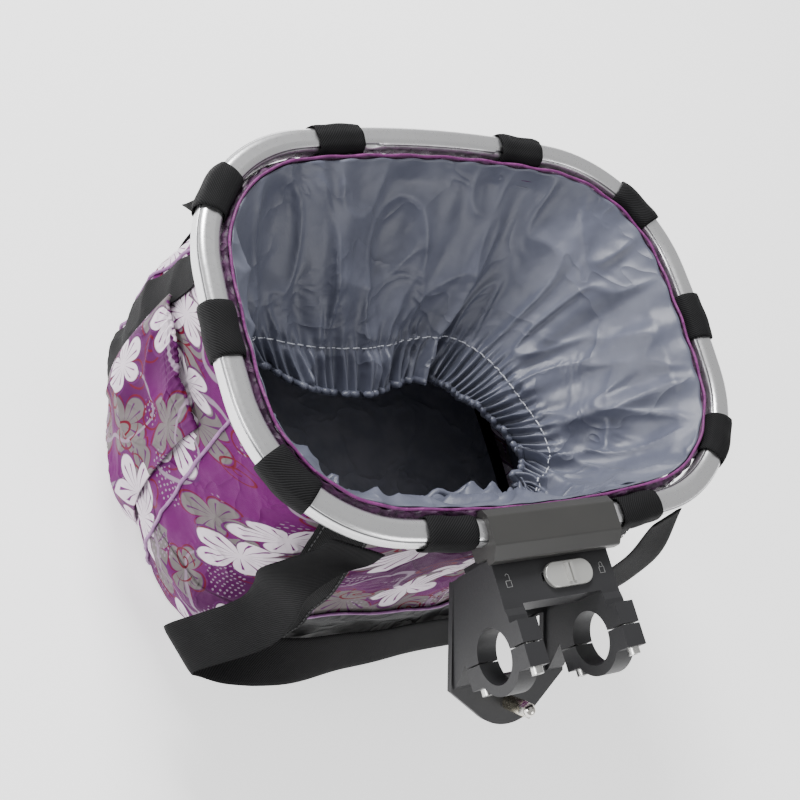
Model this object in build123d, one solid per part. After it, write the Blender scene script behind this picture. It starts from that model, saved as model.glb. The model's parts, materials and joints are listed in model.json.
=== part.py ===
from build123d import *
import math
import os

# Handlebar basket: a cloth bag hung from a closed aluminium rim tube by webbing loops,
# with a quick-release bracket at the front whose two rings clamp a handlebar.
# Millimetres. +Z up, +X along the handlebar, the bracket at -Y.
# The origin is on the surface the bag stands on, below the middle of the rim.

# ---- driving dimensions: rim tube ----
rim_level = 210.0            # tube centre above the ground
rim_half_length = 173.5      # tube centre line, along X
rim_half_depth = 128.0       # tube centre line, along Y
rim_side_radius = 690.0      # the long sides' gentle curve
rim_end_radius = 690.0       # the ends' gentle curve
rim_corner_radius = 90.0
tube_width = 15.0
tube_height = 14.0
tube_round = 5.0             # rounding of the tube's section
tube_wall = 1.6
tube_joint_gap = 1.0         # the tube's two ends meet inside the saddle
joiner_length = 70.0
joiner_clearance = 0.15

# ---- webbing ----
webbing_width = 32.0
webbing_thickness = 1.6
webbing_clearance = 0.3
loop_side_offset = 68.5      # loops on the long sides, from the middle
loop_corner_angle = 36.0     # loops on the corners, degrees about the corner's centre
loop_tail_length = 14.0

# ---- cloth ----
cloth_thickness = 1.6
lining_thickness = 1.0
layer_gap = 0.3
mouth_inset = 15.5           # bag mouth, inside the tube's centre line
mouth_drop = 5.0             # bag mouth, below the tube's centre line
binding_width = 3.6
binding_height = 10.0
# each section of the bag: height, half length, half depth, middle's place along Y
base_height = 3.0
bag_sections = [
    (base_height, 150.0, 119.0, -15.0),
    (14.0, 157.0, 126.0, -15.0),
    (50.0, 173.0, 127.0, -12.0),
    (90.0, 178.0, 127.0, -8.0),
    (130.0, 174.0, 125.0, -4.0),
    (170.0, 165.0, 118.0, -1.0),
]
bag_corner_radius = 78.0
band_top = 84.0              # top of the dark lower band, at the front
band_thickness = 1.2
board_inset = 12.0
board_thickness = 2.4
skirt_depth = 62.0
skirt_hem_half_length = 118.0
skirt_hem_half_depth = 76.0
skirt_hem_shift = 6.0
hem_height = 7.0

# ---- end pockets ----
pocket_bottom = 20.0
pocket_top = 150.0
pocket_half_width = 86.0
pocket_bulge = 22.0
pocket_wall = 2.0
pocket_trim = 8.0

# ---- carry handles and their sewn straps ----
strap_offset = 114.0         # sewn straps, from the middle
handle_drop = 150.0
handle_stand_off = 12.0      # handle's plane, outside the rim's outer face
handle_thickness = 2.4
handle_corner_radius = 34.0

# ---- saddle on the rim tube (basket's half of the bracket) ----
saddle_half_length = 46.0
saddle_wall = 3.6
saddle_clearance = 0.2
saddle_front = 17.0          # reach from the tube's centre line
saddle_back = 12.8
saddle_split = -1.0          # upper and lower shells meet here
saddle_bottom = 12.0
saddle_screw_radius = 1.6
saddle_screw_head = 2.6
saddle_screw_offset_x = 34.0
rail_half_width = 24.0
rail_thickness = 4.0
rail_bottom = 46.0
rail_clearance = 0.25

# ---- adapter (handlebar's half of the bracket) ----
bore_radius = 15.9           # 31.8 mm handlebar
ring_pitch = 70.6
ring_width = 13.5
ring_wall = 6.2
ring_reach = 62.8            # ring axis from the tube's centre line
ring_drop = 24.6
lug_height = 7.0
lug_length = 13.0
split_gap = 0.8
panel_level = -3.4
panel_thickness = 5.0
panel_front = 40.0
web_drop = 22.0
web_thickness = 4.0
cheek_foot = -50.0           # step where the cheek meets the cradle's side
plate_angle = 27.5           # cradle plate, below the horizontal
plate_thickness = 4.0
plate_start_y = -14.2        # plate's top edge from the tube's centre line
plate_start_z = -45.4
plate_shoulder = 64.0        # where the plate starts to taper, along its slope
plate_tip_start = 83.0
plate_length = 90.0
plate_tip_half_width = 20.0
window_start = 26.0
window_end = 60.0
tip_hole_back = 13.0
bolt_radius = 2.5
bolt_clearance = 0.2
spacer_radius = 4.6
spacer_height = 15.0
nut_width = 8.6
nut_height = 4.6
dome_radius = 4.0
clamp_screw_radius = 2.0
clamp_screw_clearance = 0.2
clamp_head_radius = 3.6
clamp_head_height = 4.2

# ---- slide lock ----
slide_length = 34.0
slide_width = 15.0
slide_thickness = 2.6
slide_place = 8.0            # where the slide rests, to the right of the middle
slide_travel = 16.0
slide_back = 27.5            # slide's middle, from the tube's centre line
slide_lift = 0.25
stem_width = 4.0
stem_clearance = 0.4
latch_level = -16.6          # top of the latch bar
latch_height = 3.4
latch_length = 14.0
tooth_width = 7.0
tooth_depth = 2.6            # how far the tooth reaches into the rail
latch_clearance = 0.6
latch_screw_radius = 1.0
guide_width = 4.8
guide_lip = 3.2
adapter_wall = 4.0

os.makedirs("parts", exist_ok=True)


# ---------------------------------------------------------------- outlines
def corner_centre(half_length, half_depth, corner):
    """Centre of the corner arc that is tangent to the side arc and the end arc."""
    side_y = half_depth - rim_side_radius
    end_x = half_length - rim_end_radius
    from_side = rim_side_radius - corner
    from_end = rim_end_radius - corner
    span = math.hypot(end_x, side_y)
    along = (from_side ** 2 - from_end ** 2 + span ** 2) / (2 * span)
    across = math.sqrt(from_side ** 2 - along ** 2)
    unit = (end_x / span, -side_y / span)
    return unit[0] * along + unit[1] * across, side_y + unit[1] * along - unit[0] * across


def oval(half_length, half_depth, corner, level, shift=0.0):
    """Closed oval of eight tangent arcs at the given level, its middle moved along Y."""
    cx, cy = corner_centre(half_length, half_depth, corner)
    side_y = half_depth - rim_side_radius
    end_x = half_length - rim_end_radius
    side_angle = math.atan2(cy - side_y, cx)
    end_angle = math.atan2(cy, cx - end_x)
    start = (cx + corner * math.cos(end_angle), cy + corner * math.sin(end_angle))
    half_turn = (side_angle + end_angle) / 2
    middle = (cx + corner * math.cos(half_turn), cy + corner * math.sin(half_turn))
    stop = (cx + corner * math.cos(side_angle), cy + corner * math.sin(side_angle))
    top = (0.0, half_depth)
    right = (half_length, 0.0)

    def at(point, sx, sy):
        return (sx * point[0], sy * point[1] + shift, level)

    edges = [
        ThreePointArc(at(start, 1, -1), at(right, 1, 1), at(start, 1, 1)),
        ThreePointArc(at(start, 1, 1), at(middle, 1, 1), at(stop, 1, 1)),
        ThreePointArc(at(stop, 1, 1), at(top, 1, 1), at(stop, -1, 1)),
        ThreePointArc(at(stop, -1, 1), at(middle, -1, 1), at(start, -1, 1)),
        ThreePointArc(at(start, -1, 1), at(right, -1, 1), at(start, -1, -1)),
        ThreePointArc(at(start, -1, -1), at(middle, -1, -1), at(stop, -1, -1)),
        ThreePointArc(at(stop, -1, -1), at(top, 1, -1), at(stop, 1, -1)),
        ThreePointArc(at(stop, 1, -1), at(middle, 1, -1), at(start, 1, -1)),
    ]
    return Face(Wire(edges))


def rim_oval(grow, level):
    """Face inside a curve parallel to the tube's centre line, grown outwards."""
    radii = (rim_half_length + grow, rim_half_depth + grow, rim_corner_radius + grow)
    return oval(radii[0], radii[1], radii[2], level)


def section_radius(half_length, half_depth):
    """Corner radius of a bag section, limited by the section itself."""
    return min(bag_corner_radius, 0.72 * min(half_length, half_depth))


def bag_solid(grow, top_grow=0.0):
    """The bag's filled outer shape, grown outwards by the same amount at every section."""
    faces = []
    for height, half_length, half_depth, shift in bag_sections:
        corner = section_radius(half_length, half_depth) + grow
        faces.append(oval(half_length + grow, half_depth + grow, corner, height, shift))
    faces.append(rim_oval(grow - mouth_inset, rim_level - mouth_drop + top_grow))
    return Solid.make_loft([face.outer_wire() for face in faces], ruled=True)


def block(x_range, y_range, z_range):
    """Box between two limits on each axis."""
    size = [limits[1] - limits[0] for limits in (x_range, y_range, z_range)]
    middle = [(limits[1] + limits[0]) / 2 for limits in (x_range, y_range, z_range)]
    return Pos(*middle) * Box(*size)


def profile(points, x_range):
    """Prism along X of an outline given as Y, Z from the tube's front centre line."""
    placed = [(x_range[0], front + y, rim_level + z) for y, z in points]
    face = Face(Wire.make_polygon(placed, close=True))
    return extrude(face, amount=x_range[1] - x_range[0], dir=(1, 0, 0))


def rod(radius, length, place, direction):
    """Round bar that starts at a place and runs in a direction."""
    plane = Plane(origin=place, z_dir=direction)
    return plane * Pos(0, 0, length / 2) * Cylinder(radius, length)


def save(shape, node):
    """Write one node's solids to its own file."""
    export_step(shape, "parts/" + node + ".step")


front = -rim_half_depth
mouth_level = rim_level - mouth_drop


# ---------------------------------------------------------------- rim tube
def tube_stretches():
    """Centre, radius, start angle and turn of each of the tube's eight arcs."""
    cx, cy = corner_centre(rim_half_length, rim_half_depth, rim_corner_radius)
    side_y = rim_half_depth - rim_side_radius
    end_x = rim_half_length - rim_end_radius
    side_angle = math.degrees(math.atan2(cy - side_y, cx))
    end_angle = math.degrees(math.atan2(cy, cx - end_x))
    return [
        ((end_x, 0), rim_end_radius, -end_angle, 2 * end_angle),
        ((cx, cy), rim_corner_radius, end_angle, side_angle - end_angle),
        ((0, side_y), rim_side_radius, side_angle, 180 - 2 * side_angle),
        ((-cx, cy), rim_corner_radius, 180 - side_angle, side_angle - end_angle),
        ((-end_x, 0), rim_end_radius, 180 - end_angle, 2 * end_angle),
        ((-cx, -cy), rim_corner_radius, 180 + end_angle, side_angle - end_angle),
        ((0, -side_y), rim_side_radius, 180 + side_angle, 180 - 2 * side_angle),
        ((cx, -cy), rim_corner_radius, 360 - side_angle, side_angle - end_angle),
    ]


def tube_band(grow):
    """The tube's whole closed ring, grown on every side, with its rounded section."""
    width = tube_width + 2 * grow
    height = tube_height + 2 * grow
    rounding = min(tube_round + grow, 0.45 * min(width, height))
    ring = None
    for (x, y), radius, start, turn in tube_stretches():
        angle = math.radians(start)
        out = (math.cos(angle), math.sin(angle), 0)
        place = (x + radius * out[0], y + radius * out[1], rim_level)
        section = Plane(origin=place, x_dir=out, z_dir=(-out[1], out[0], 0))
        stretch = revolve(section * RectangleRounded(width, height, rounding),
                          axis=Axis((x, y, 0), (0, 0, 1)), revolution_arc=turn)
        ring = stretch if ring is None else ring + stretch
    return ring


joint_cut = block((-tube_joint_gap / 2, tube_joint_gap / 2), (front - 30, front + 30), (0, 400))
solid_tube = tube_band(0.0)
rim_tube = solid_tube - tube_band(-tube_wall) - joint_cut
save(rim_tube, "rim_tube")

joiner_window = block((-joiner_length / 2, joiner_length / 2), (front - 30, front + 30), (0, 400))
joiner = tube_band(-tube_wall - joiner_clearance) & joiner_window
save(joiner, "rim_joiner")


# ---------------------------------------------------------------- webbing loops
corner_x, corner_y = corner_centre(rim_half_length, rim_half_depth, rim_corner_radius)
loop_turn = math.radians(loop_corner_angle)
loop_corner = (corner_x + rim_corner_radius * math.cos(loop_turn),
               corner_y + rim_corner_radius * math.sin(loop_turn))
side_turn = math.asin(loop_side_offset / rim_side_radius)
loop_side = (loop_side_offset,
             rim_half_depth - rim_side_radius * (1 - math.cos(side_turn)))
loop_stations = {
    "front_inner": (loop_side[0], -loop_side[1], math.degrees(side_turn) - 90),
    "front_corner": (loop_corner[0], -loop_corner[1], -loop_corner_angle),
    "end": (rim_half_length, 0.0, 0.0),
    "rear_corner": (loop_corner[0], loop_corner[1], loop_corner_angle),
    "rear_inner": (loop_side[0], loop_side[1], 90 - math.degrees(side_turn)),
}
loop_sleeve = tube_band(webbing_clearance + webbing_thickness) - tube_band(webbing_clearance)
tail_outer = tube_width / 2 + webbing_clearance + webbing_thickness
tail_top = rim_level - tube_height / 2 + 1.0
tail_band = extrude(rim_oval(-tail_outer + webbing_thickness, tail_top - loop_tail_length),
                    amount=loop_tail_length, dir=(0, 0, 1))
tail_band -= extrude(rim_oval(-tail_outer, tail_top - loop_tail_length),
                     amount=loop_tail_length, dir=(0, 0, 1))
loop_band = loop_sleeve + (tail_band - tube_band(webbing_clearance))
for place, (x, y, turn) in loop_stations.items():
    for side, sign in (("left", -1), ("right", 1)):
        facing = turn if sign > 0 else 180 - turn
        window = Pos(sign * x, y, rim_level) * Rot(0, 0, facing) * Box(60, webbing_width, 70)
        save(loop_band & window, "webbing_loop_" + place + "_" + side)


# ---------------------------------------------------------------- cloth bag
filled_bag = bag_solid(0.0)
hollow = bag_solid(-cloth_thickness, 1.0)
upper_space = block((-400, 400), (-400, 400), (band_top, 400))
outer_shell = (filled_bag - hollow) & upper_space
save(outer_shell, "outer_shell")
lower_space = block((-400, 400), (-400, 400), (base_height, band_top))
lower_band = (filled_bag - hollow) & lower_space
save(lower_band, "lower_band")

base_section = bag_sections[0]
base_corner = section_radius(base_section[1], base_section[2])
base_panel = extrude(oval(base_section[1], base_section[2], base_corner, 0.0, base_section[3]),
                     amount=base_height, dir=(0, 0, 1))
save(base_panel, "base_panel")
board_face = oval(base_section[1] - board_inset, base_section[2] - board_inset,
                  base_corner - board_inset, base_height, base_section[3])
base_board = extrude(board_face, amount=board_thickness, dir=(0, 0, 1))
save(base_board, "base_board")

lining_grow = -cloth_thickness - layer_gap
lining_floor = base_height + board_thickness + layer_gap
lining_space = block((-400, 400), (-400, 400), (lining_floor, mouth_level - binding_height))
lining_hollow = bag_solid(lining_grow - lining_thickness, 1.0)
lining_open = block((-400, 400), (-400, 400), (lining_floor + lining_thickness, 400))
lining = (bag_solid(lining_grow) & lining_space) - (lining_hollow & lining_open)
save(lining, "lining")

binding = extrude(rim_oval(-mouth_inset + 0.6 * binding_width, mouth_level), amount=binding_height / 2,
                  dir=(0, 0, 1))
binding -= extrude(rim_oval(-mouth_inset - 0.4 * binding_width, mouth_level),
                   amount=binding_height / 2, dir=(0, 0, 1))
save(binding, "mouth_binding")

# gathered inner skirt with its hem
skirt_top = mouth_level
skirt_low = skirt_top - skirt_depth


def skirt_solid(grow, low_extra=0.0):
    """Filled cone-like shape between the mouth and the skirt's hem."""
    top = rim_oval(-mouth_inset - 0.4 * binding_width - layer_gap + grow, skirt_top)
    low = oval(skirt_hem_half_length + grow, skirt_hem_half_depth + grow,
               0.7 * skirt_hem_half_depth + grow, skirt_low - low_extra, skirt_hem_shift)
    return Solid.make_loft([top.outer_wire(), low.outer_wire()], ruled=True)


skirt_full = skirt_solid(0.0) - skirt_solid(-lining_thickness)
save(skirt_full, "drawstring_skirt")
hem_outer = oval(skirt_hem_half_length + 1.0, skirt_hem_half_depth + 1.0,
                 0.7 * skirt_hem_half_depth + 1.0, skirt_low - hem_height, skirt_hem_shift)
hem_inner = oval(skirt_hem_half_length - 2.0, skirt_hem_half_depth - 2.0,
                 0.7 * skirt_hem_half_depth - 2.0, skirt_low - hem_height, skirt_hem_shift)
skirt_hem = extrude(hem_outer, amount=hem_height, dir=(0, 0, 1))
skirt_hem -= extrude(hem_inner, amount=hem_height, dir=(0, 0, 1))
save(skirt_hem, "skirt_hem")


# ---------------------------------------------------------------- end pockets
def pocket_solid(sign, shrink):
    """Filled pouch outside one end of the bag, its section a shallow arc."""
    wires = []
    for height, share in ((pocket_bottom + shrink, 0.45), (pocket_bottom + 30, 1.0), (pocket_top, 0.8)):
        reach = bag_sections[3][1] + pocket_bulge * share - shrink
        half = pocket_half_width - shrink
        root = 0.86 * bag_sections[0][1]
        middle = bag_sections[2][3]
        arc = ThreePointArc((sign * (root + 14), middle - half, height), (sign * reach, middle, height),
                            (sign * (root + 14), middle + half, height))
        back = Polyline((sign * (root + 14), middle + half, height), (sign * root, middle + half, height),
                        (sign * root, middle - half, height), (sign * (root + 14), middle - half, height))
        wires.append(Wire([arc] + back.edges()))
    return Solid.make_loft(wires, ruled=True)


bag_keep_out = bag_solid(layer_gap)
for side, sign in (("left", -1), ("right", 1)):
    trim_space = block((-400, 400), (-400, 400), (pocket_top - pocket_trim, pocket_top))
    wall = pocket_solid(sign, 0.0) - pocket_solid(sign, pocket_wall)
    wall -= bag_keep_out
    save(wall - trim_space, "end_pocket_" + side)
    save(wall & trim_space, "pocket_elastic_" + side)


# ---------------------------------------------------------------- sewn straps and carry handles
strap_skin = bag_solid(layer_gap + webbing_thickness) - bag_solid(layer_gap)
for face_name, y_range in (("front", (-400, 0)), ("rear", (0, 400))):
    for side, sign in (("left", -1), ("right", 1)):
        middle = sign * strap_offset
        window = block((middle - webbing_width / 2, middle + webbing_width / 2), y_range,
                       (base_height + 2, tail_top - loop_tail_length - 2))
        save(strap_skin & window, "sewn_strap_" + face_name + "_" + side)

handle_top = rim_level - tube_height / 2 - 6
handle_low = handle_top - handle_drop
handle_outer = strap_offset + webbing_width / 2
for face_name, sign in (("front", -1), ("rear", 1)):
    plane_y = sign * (rim_half_depth + tube_width / 2 + handle_stand_off)
    outer_box = block((-handle_outer, handle_outer),
                      (plane_y - handle_thickness / 2, plane_y + handle_thickness / 2),
                      (handle_low, handle_top))
    inner_box = block((-handle_outer + webbing_width, handle_outer - webbing_width),
                      (plane_y - handle_thickness, plane_y + handle_thickness),
                      (handle_low + webbing_width, handle_top + 1))
    outer_round = fillet(outer_box.edges().filter_by(Axis.Y).group_by(Axis.Z)[0], handle_corner_radius)
    inner_round = fillet(inner_box.edges().filter_by(Axis.Y).group_by(Axis.Z)[0],
                         max(handle_corner_radius - webbing_width, 2.0))
    save(outer_round - inner_round, "carry_handle_" + face_name)


# ---------------------------------------------------------------- saddle on the rim tube
tube_room = tube_band(saddle_clearance)
saddle_x = (-saddle_half_length, saddle_half_length)
top_edge = tube_height / 2 + saddle_wall
upper_points = [
    (saddle_back, saddle_split), (saddle_back, tube_height / 2), (saddle_back - 5, top_edge),
    (-saddle_front + 8, top_edge), (-saddle_front, tube_height / 2 - 2), (-saddle_front, saddle_split),
]
saddle_upper = profile(upper_points, saddle_x)
saddle_upper = fillet(saddle_upper.edges().filter_by(Axis.X).group_by(Axis.Z)[1:], 2.4)
lower_bevel = 1.5
lower_points = [
    (saddle_back, saddle_split), (saddle_back, lower_bevel - saddle_bottom),
    (saddle_back - lower_bevel, -saddle_bottom), (lower_bevel - saddle_back, -saddle_bottom),
    (-saddle_back, lower_bevel - saddle_bottom), (-saddle_back, saddle_split),
]
saddle_lower = profile(lower_points, saddle_x)
saddle_upper -= tube_room
saddle_lower -= tube_room

rail_face = saddle_back - rail_thickness
rail_x = (-rail_half_width, rail_half_width)
rail_y = (front - rail_face - rail_thickness, front - rail_face)
rail_level = rim_level - rail_bottom
rail = block(rail_x, rail_y, (rail_level, rim_level - saddle_bottom + lower_bevel))
keyway_half = tooth_width / 2 + latch_clearance
latch_top = rim_level + latch_level
branch_z = (latch_top - latch_height - latch_clearance, latch_top + latch_clearance)
rail -= block((slide_place - keyway_half, slide_place + keyway_half), (front - 30, front),
              (rail_level - 1, branch_z[1]))
rail -= block((slide_place - slide_travel - keyway_half, slide_place), (front - 30, front), branch_z)
saddle_lower += rail

screw_y = (saddle_back + tube_width / 2 + saddle_clearance) / 2
screw_low = rim_level - saddle_bottom
screw_length = saddle_bottom + tube_height / 2 - 1
saddle_screws = []
for sx in (-1, 1):
    for sy in (-1, 1):
        place = (sx * saddle_screw_offset_x, front + sy * screw_y, screw_low)
        hole = rod(saddle_screw_radius + 0.1, screw_length + 0.5, place, (0, 0, 1))
        saddle_upper -= hole
        saddle_lower -= hole
        shank = rod(saddle_screw_radius, screw_length, place, (0, 0, 1))
        head = rod(saddle_screw_head, 1.8, place, (0, 0, -1))
        saddle_screws.append(shank + head)
save(saddle_upper, "saddle_upper")
save(saddle_lower, "saddle_lower")
save(Compound(saddle_screws), "saddle_screws")


# ---------------------------------------------------------------- adapter body
ring_y = front - ring_reach
ring_z = rim_level - ring_drop
ring_outer = bore_radius + ring_wall
ring_half = ring_width / 2
outer_x = ring_pitch / 2 + ring_half
inner_x = ring_pitch / 2 - ring_half
lug_reach = ring_outer + lug_height
slope = math.radians(plate_angle)
plate_y = front + plate_start_y
plate_z = rim_level + plate_start_z


def on_plate(along):
    """Y, Z of a point down the plate's slope, from the tube's centre line."""
    return plate_start_y - along * math.cos(slope), plate_start_z - along * math.sin(slope)


wall_back = -rail_face - rail_thickness - rail_clearance
wall_front = wall_back - adapter_wall
shoulder_y, shoulder_z = on_plate(plate_shoulder)
cheek_points = [
    (wall_back, panel_level), (-panel_front - 2, panel_level),
    (-panel_front - 6, ring_outer - ring_drop), (split_gap / 2 - ring_reach, ring_outer - ring_drop),
    (split_gap / 2 - ring_reach, -ring_drop - lug_reach), (lug_length - ring_reach, -ring_drop - lug_reach),
    (lug_length - ring_reach, cheek_foot), (wall_back, cheek_foot + 12),
]
side_sink = 2.0              # the cradle's sides run this far into its plate
side_points = [
    (wall_back, -30.0), (wall_back, plate_start_z - side_sink), (shoulder_y + 1, shoulder_z - side_sink / 2),
    (shoulder_y + 2, shoulder_z + 4), (lug_length - ring_reach - 4, cheek_foot + 4), (-20, -30.0),
]
body = block((-outer_x, outer_x), (front - panel_front, front + wall_back),
             (rim_level + panel_level - panel_thickness, rim_level + panel_level))
body += block((-inner_x - 1, inner_x + 1), (front - panel_front, front - panel_front + web_thickness),
              (rim_level + panel_level - web_drop, rim_level + panel_level))
guide_foot = plate_z - side_sink
guide_outer = rail_half_width + rail_clearance + guide_width
body += block((-guide_outer, guide_outer), (front + wall_front, front + wall_back),
              (guide_foot, rim_level + panel_level))
for sign in (-1, 1):
    limits = sorted((sign * inner_x, sign * outer_x))
    body += profile(cheek_points, limits)
    side_limits = sorted((sign * inner_x, sign * (outer_x - 1.5)))
    body += profile(side_points, side_limits)
    body += block(limits, (ring_y + split_gap / 2, ring_y + lug_length),
                  (ring_z + ring_outer - 4, ring_z + lug_reach))
    guide_x = sorted((sign * (rail_half_width + rail_clearance), sign * guide_outer))
    lip_y = (front - rail_face + rail_clearance, front - rail_face + rail_clearance + 2.5)
    body += block(guide_x, (front + wall_front, lip_y[1]), (guide_foot, screw_low - 2.4))
    lip_x = sorted((sign * (rail_half_width - guide_lip), sign * guide_outer))
    body += block(lip_x, lip_y, (guide_foot, screw_low - 2.4))

# cradle plate: drawn flat, then laid on its slope
plate_plane = Plane(origin=(0, plate_y, plate_z), x_dir=(1, 0, 0),
                    z_dir=(0, -math.sin(slope), math.cos(slope)))
top_half = outer_x - 1.5
flat = [
    Line((-top_half, 0), (top_half, 0)),
    Line((top_half, 0), (outer_x, -plate_shoulder)),
    Line((outer_x, -plate_shoulder), (plate_tip_half_width, -plate_tip_start)),
    ThreePointArc((plate_tip_half_width, -plate_tip_start), (0, -plate_length),
                  (-plate_tip_half_width, -plate_tip_start)),
    Line((-plate_tip_half_width, -plate_tip_start), (-outer_x, -plate_shoulder)),
    Line((-outer_x, -plate_shoulder), (-top_half, 0)),
]
plate = extrude(Face(Wire(flat)), amount=plate_thickness, dir=(0, 0, -1))
plate -= block((-inner_x + 2, inner_x - 2), (-window_end, -window_start), (-2 * plate_thickness, 1))
tip_hole_at = plate_length - tip_hole_back
plate -= Pos(0, -tip_hole_at, -plate_thickness / 2) * Cylinder(bolt_radius + bolt_clearance, 3 * plate_thickness)
body += plate_plane * plate

# bore, clamp screw holes, slide slot and the latch's window
bore_span = 2 * outer_x + 10
body -= rod(bore_radius, bore_span, (-bore_span / 2, ring_y, ring_z), (1, 0, 0))
screw_rise = ring_outer + 0.36 * lug_height
screw_start = ring_y - lug_length
screw_shank = 2 * lug_length - 2
slot_half = stem_width / 2 + stem_clearance
body -= block((slide_place - slide_travel - slot_half, slide_place + slot_half),
              (front - slide_back - slot_half, front - slide_back + slot_half),
              (rim_level + panel_level - 2 * panel_thickness, rim_level + 10))
body -= block((slide_place - slide_travel - keyway_half, slide_place + keyway_half),
              (front + wall_front - 2, front + wall_back + 2), branch_z)

caps = {}
clamp_screws = []
for side, sign in (("left", -1), ("right", 1)):
    limits = sorted((sign * inner_x, sign * outer_x))
    round_part = rod(ring_outer, ring_width, (limits[0], ring_y, ring_z), (1, 0, 0))
    cap = round_part & block(limits, (ring_y - 60, ring_y - split_gap / 2), (0, 400))
    cap += block(limits, (ring_y - lug_length, ring_y - split_gap / 2),
                 (ring_z - lug_reach, ring_z + lug_reach))
    cap -= rod(bore_radius, ring_width + 2, (limits[0] - 1, ring_y, ring_z), (1, 0, 0))
    for lift in (-1, 1):
        place = (sign * ring_pitch / 2, screw_start, ring_z + lift * screw_rise)
        hole = rod(clamp_screw_radius + clamp_screw_clearance, screw_shank + 1, place, (0, 1, 0))
        cap -= hole
        seat = rod(clamp_head_radius + 0.4, 12, place, (0, -1, 0))
        cap -= seat
        body -= hole
        shank = rod(clamp_screw_radius, screw_shank, place, (0, 1, 0))
        head = rod(clamp_head_radius, clamp_head_height, place, (0, -1, 0))
        key = rod(1.6, 2.2, (place[0], place[1] - clamp_head_height, place[2]), (0, 1, 0))
        clamp_screws.append(shank + head - key)
    save(cap, "clamp_cap_" + side)
save(body, "adapter_body")
save(Compound(clamp_screws), "clamp_screws")


# ---------------------------------------------------------------- slide lock
def stadium(length, width, thickness):
    """Flat plate with round ends, lying on Z = 0."""
    return extrude(SlotOverall(length, width), amount=thickness)


slide_at = Pos(slide_place, front - slide_back, rim_level + panel_level + slide_lift)
button = stadium(slide_length, slide_width, slide_thickness)
button = fillet(button.edges().group_by(Axis.Z)[-1], 0.8)
for rib in (-1.6, 1.6):
    ridge = Pos(rib, 0, slide_thickness + 0.7) * Box(1.8, slide_width - 4, 1.6)
    button += ridge
stem_drop = panel_level + slide_lift - latch_level
button += Pos(0, 0, -stem_drop / 2 + 0.5) * Box(stem_width, stem_width, stem_drop + 1)
screw_hole = Pos(0, 0, -stem_drop) * Cylinder(latch_screw_radius + 0.05, 12)
button -= screw_hole
save(slide_at * button, "slide_button")

latch_y = (front - slide_back - latch_length / 4, front - slide_back + latch_length / 4)
latch = block((slide_place - latch_length / 2, slide_place + latch_length / 2), latch_y,
              (latch_top - latch_height, latch_top))
latch += block((slide_place - tooth_width / 2, slide_place + tooth_width / 2),
               (latch_y[0], front + wall_back + rail_clearance + tooth_depth),
               (latch_top - latch_height, latch_top))
latch_screw_place = (slide_place, front - slide_back, latch_top - latch_height)
latch -= rod(latch_screw_radius + 0.05, latch_height, latch_screw_place, (0, 0, 1))
save(latch, "latch_bar")
latch_screw = rod(latch_screw_radius, latch_height + 5, latch_screw_place, (0, 0, 1))
latch_screw += rod(2.2, 1.4, latch_screw_place, (0, 0, -1))
save(latch_screw, "latch_screw")


# ---------------------------------------------------------------- tip bolt, spacer and dome nut
tip_y, tip_z = on_plate(tip_hole_at)
normal = (0, -math.sin(slope), math.cos(slope))


def up_from_plate(rise):
    """Point on the tip bolt's axis, above the plate's upper face."""
    return (0, front + tip_y + normal[1] * rise, rim_level + tip_z + normal[2] * rise)


down = (0, -normal[1], -normal[2])
bolt = rod(bolt_radius, plate_thickness + spacer_height + nut_height, up_from_plate(-plate_thickness), normal)
head_plane = Plane(origin=up_from_plate(-plate_thickness), z_dir=down)
bolt += head_plane * extrude(RegularPolygon(nut_width / 2, 6, major_radius=False), amount=3.4)
save(bolt, "tip_bolt")
spacer = rod(spacer_radius, spacer_height, up_from_plate(0), normal)
spacer -= rod(bolt_radius + 0.1, spacer_height, up_from_plate(0), normal)
save(spacer, "tip_spacer")
nut_plane = Plane(origin=up_from_plate(spacer_height), z_dir=normal)
hexagon = extrude(RegularPolygon(nut_width / 2, 6, major_radius=False), amount=nut_height)
dome = Pos(0, 0, nut_height) * Sphere(dome_radius)
nut = hexagon + (dome & Pos(0, 0, nut_height + dome_radius) * Box(20, 20, 2 * dome_radius))
nut -= Pos(0, 0, nut_height / 2) * Cylinder(bolt_radius + 0.05, nut_height + 0.02)
save(nut_plane * nut, "dome_nut")
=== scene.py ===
import json
import math
import bpy
import numpy as np
from mathutils import Matrix, Vector, noise


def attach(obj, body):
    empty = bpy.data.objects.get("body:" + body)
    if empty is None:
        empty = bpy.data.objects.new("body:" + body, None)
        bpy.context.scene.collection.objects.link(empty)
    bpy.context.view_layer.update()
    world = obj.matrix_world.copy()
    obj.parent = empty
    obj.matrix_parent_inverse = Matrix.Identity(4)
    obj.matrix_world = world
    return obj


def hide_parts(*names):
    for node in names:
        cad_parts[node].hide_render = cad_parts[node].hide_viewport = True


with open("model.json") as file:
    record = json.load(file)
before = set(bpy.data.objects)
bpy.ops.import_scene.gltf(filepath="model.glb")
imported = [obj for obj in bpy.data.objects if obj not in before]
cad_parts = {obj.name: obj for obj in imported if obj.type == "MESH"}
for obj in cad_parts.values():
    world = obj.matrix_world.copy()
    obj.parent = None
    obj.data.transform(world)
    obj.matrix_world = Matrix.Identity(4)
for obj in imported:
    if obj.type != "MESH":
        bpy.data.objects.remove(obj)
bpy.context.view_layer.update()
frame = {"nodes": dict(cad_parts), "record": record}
nodes = frame["nodes"]
print("frame loaded:", len(nodes), "nodes")

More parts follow.
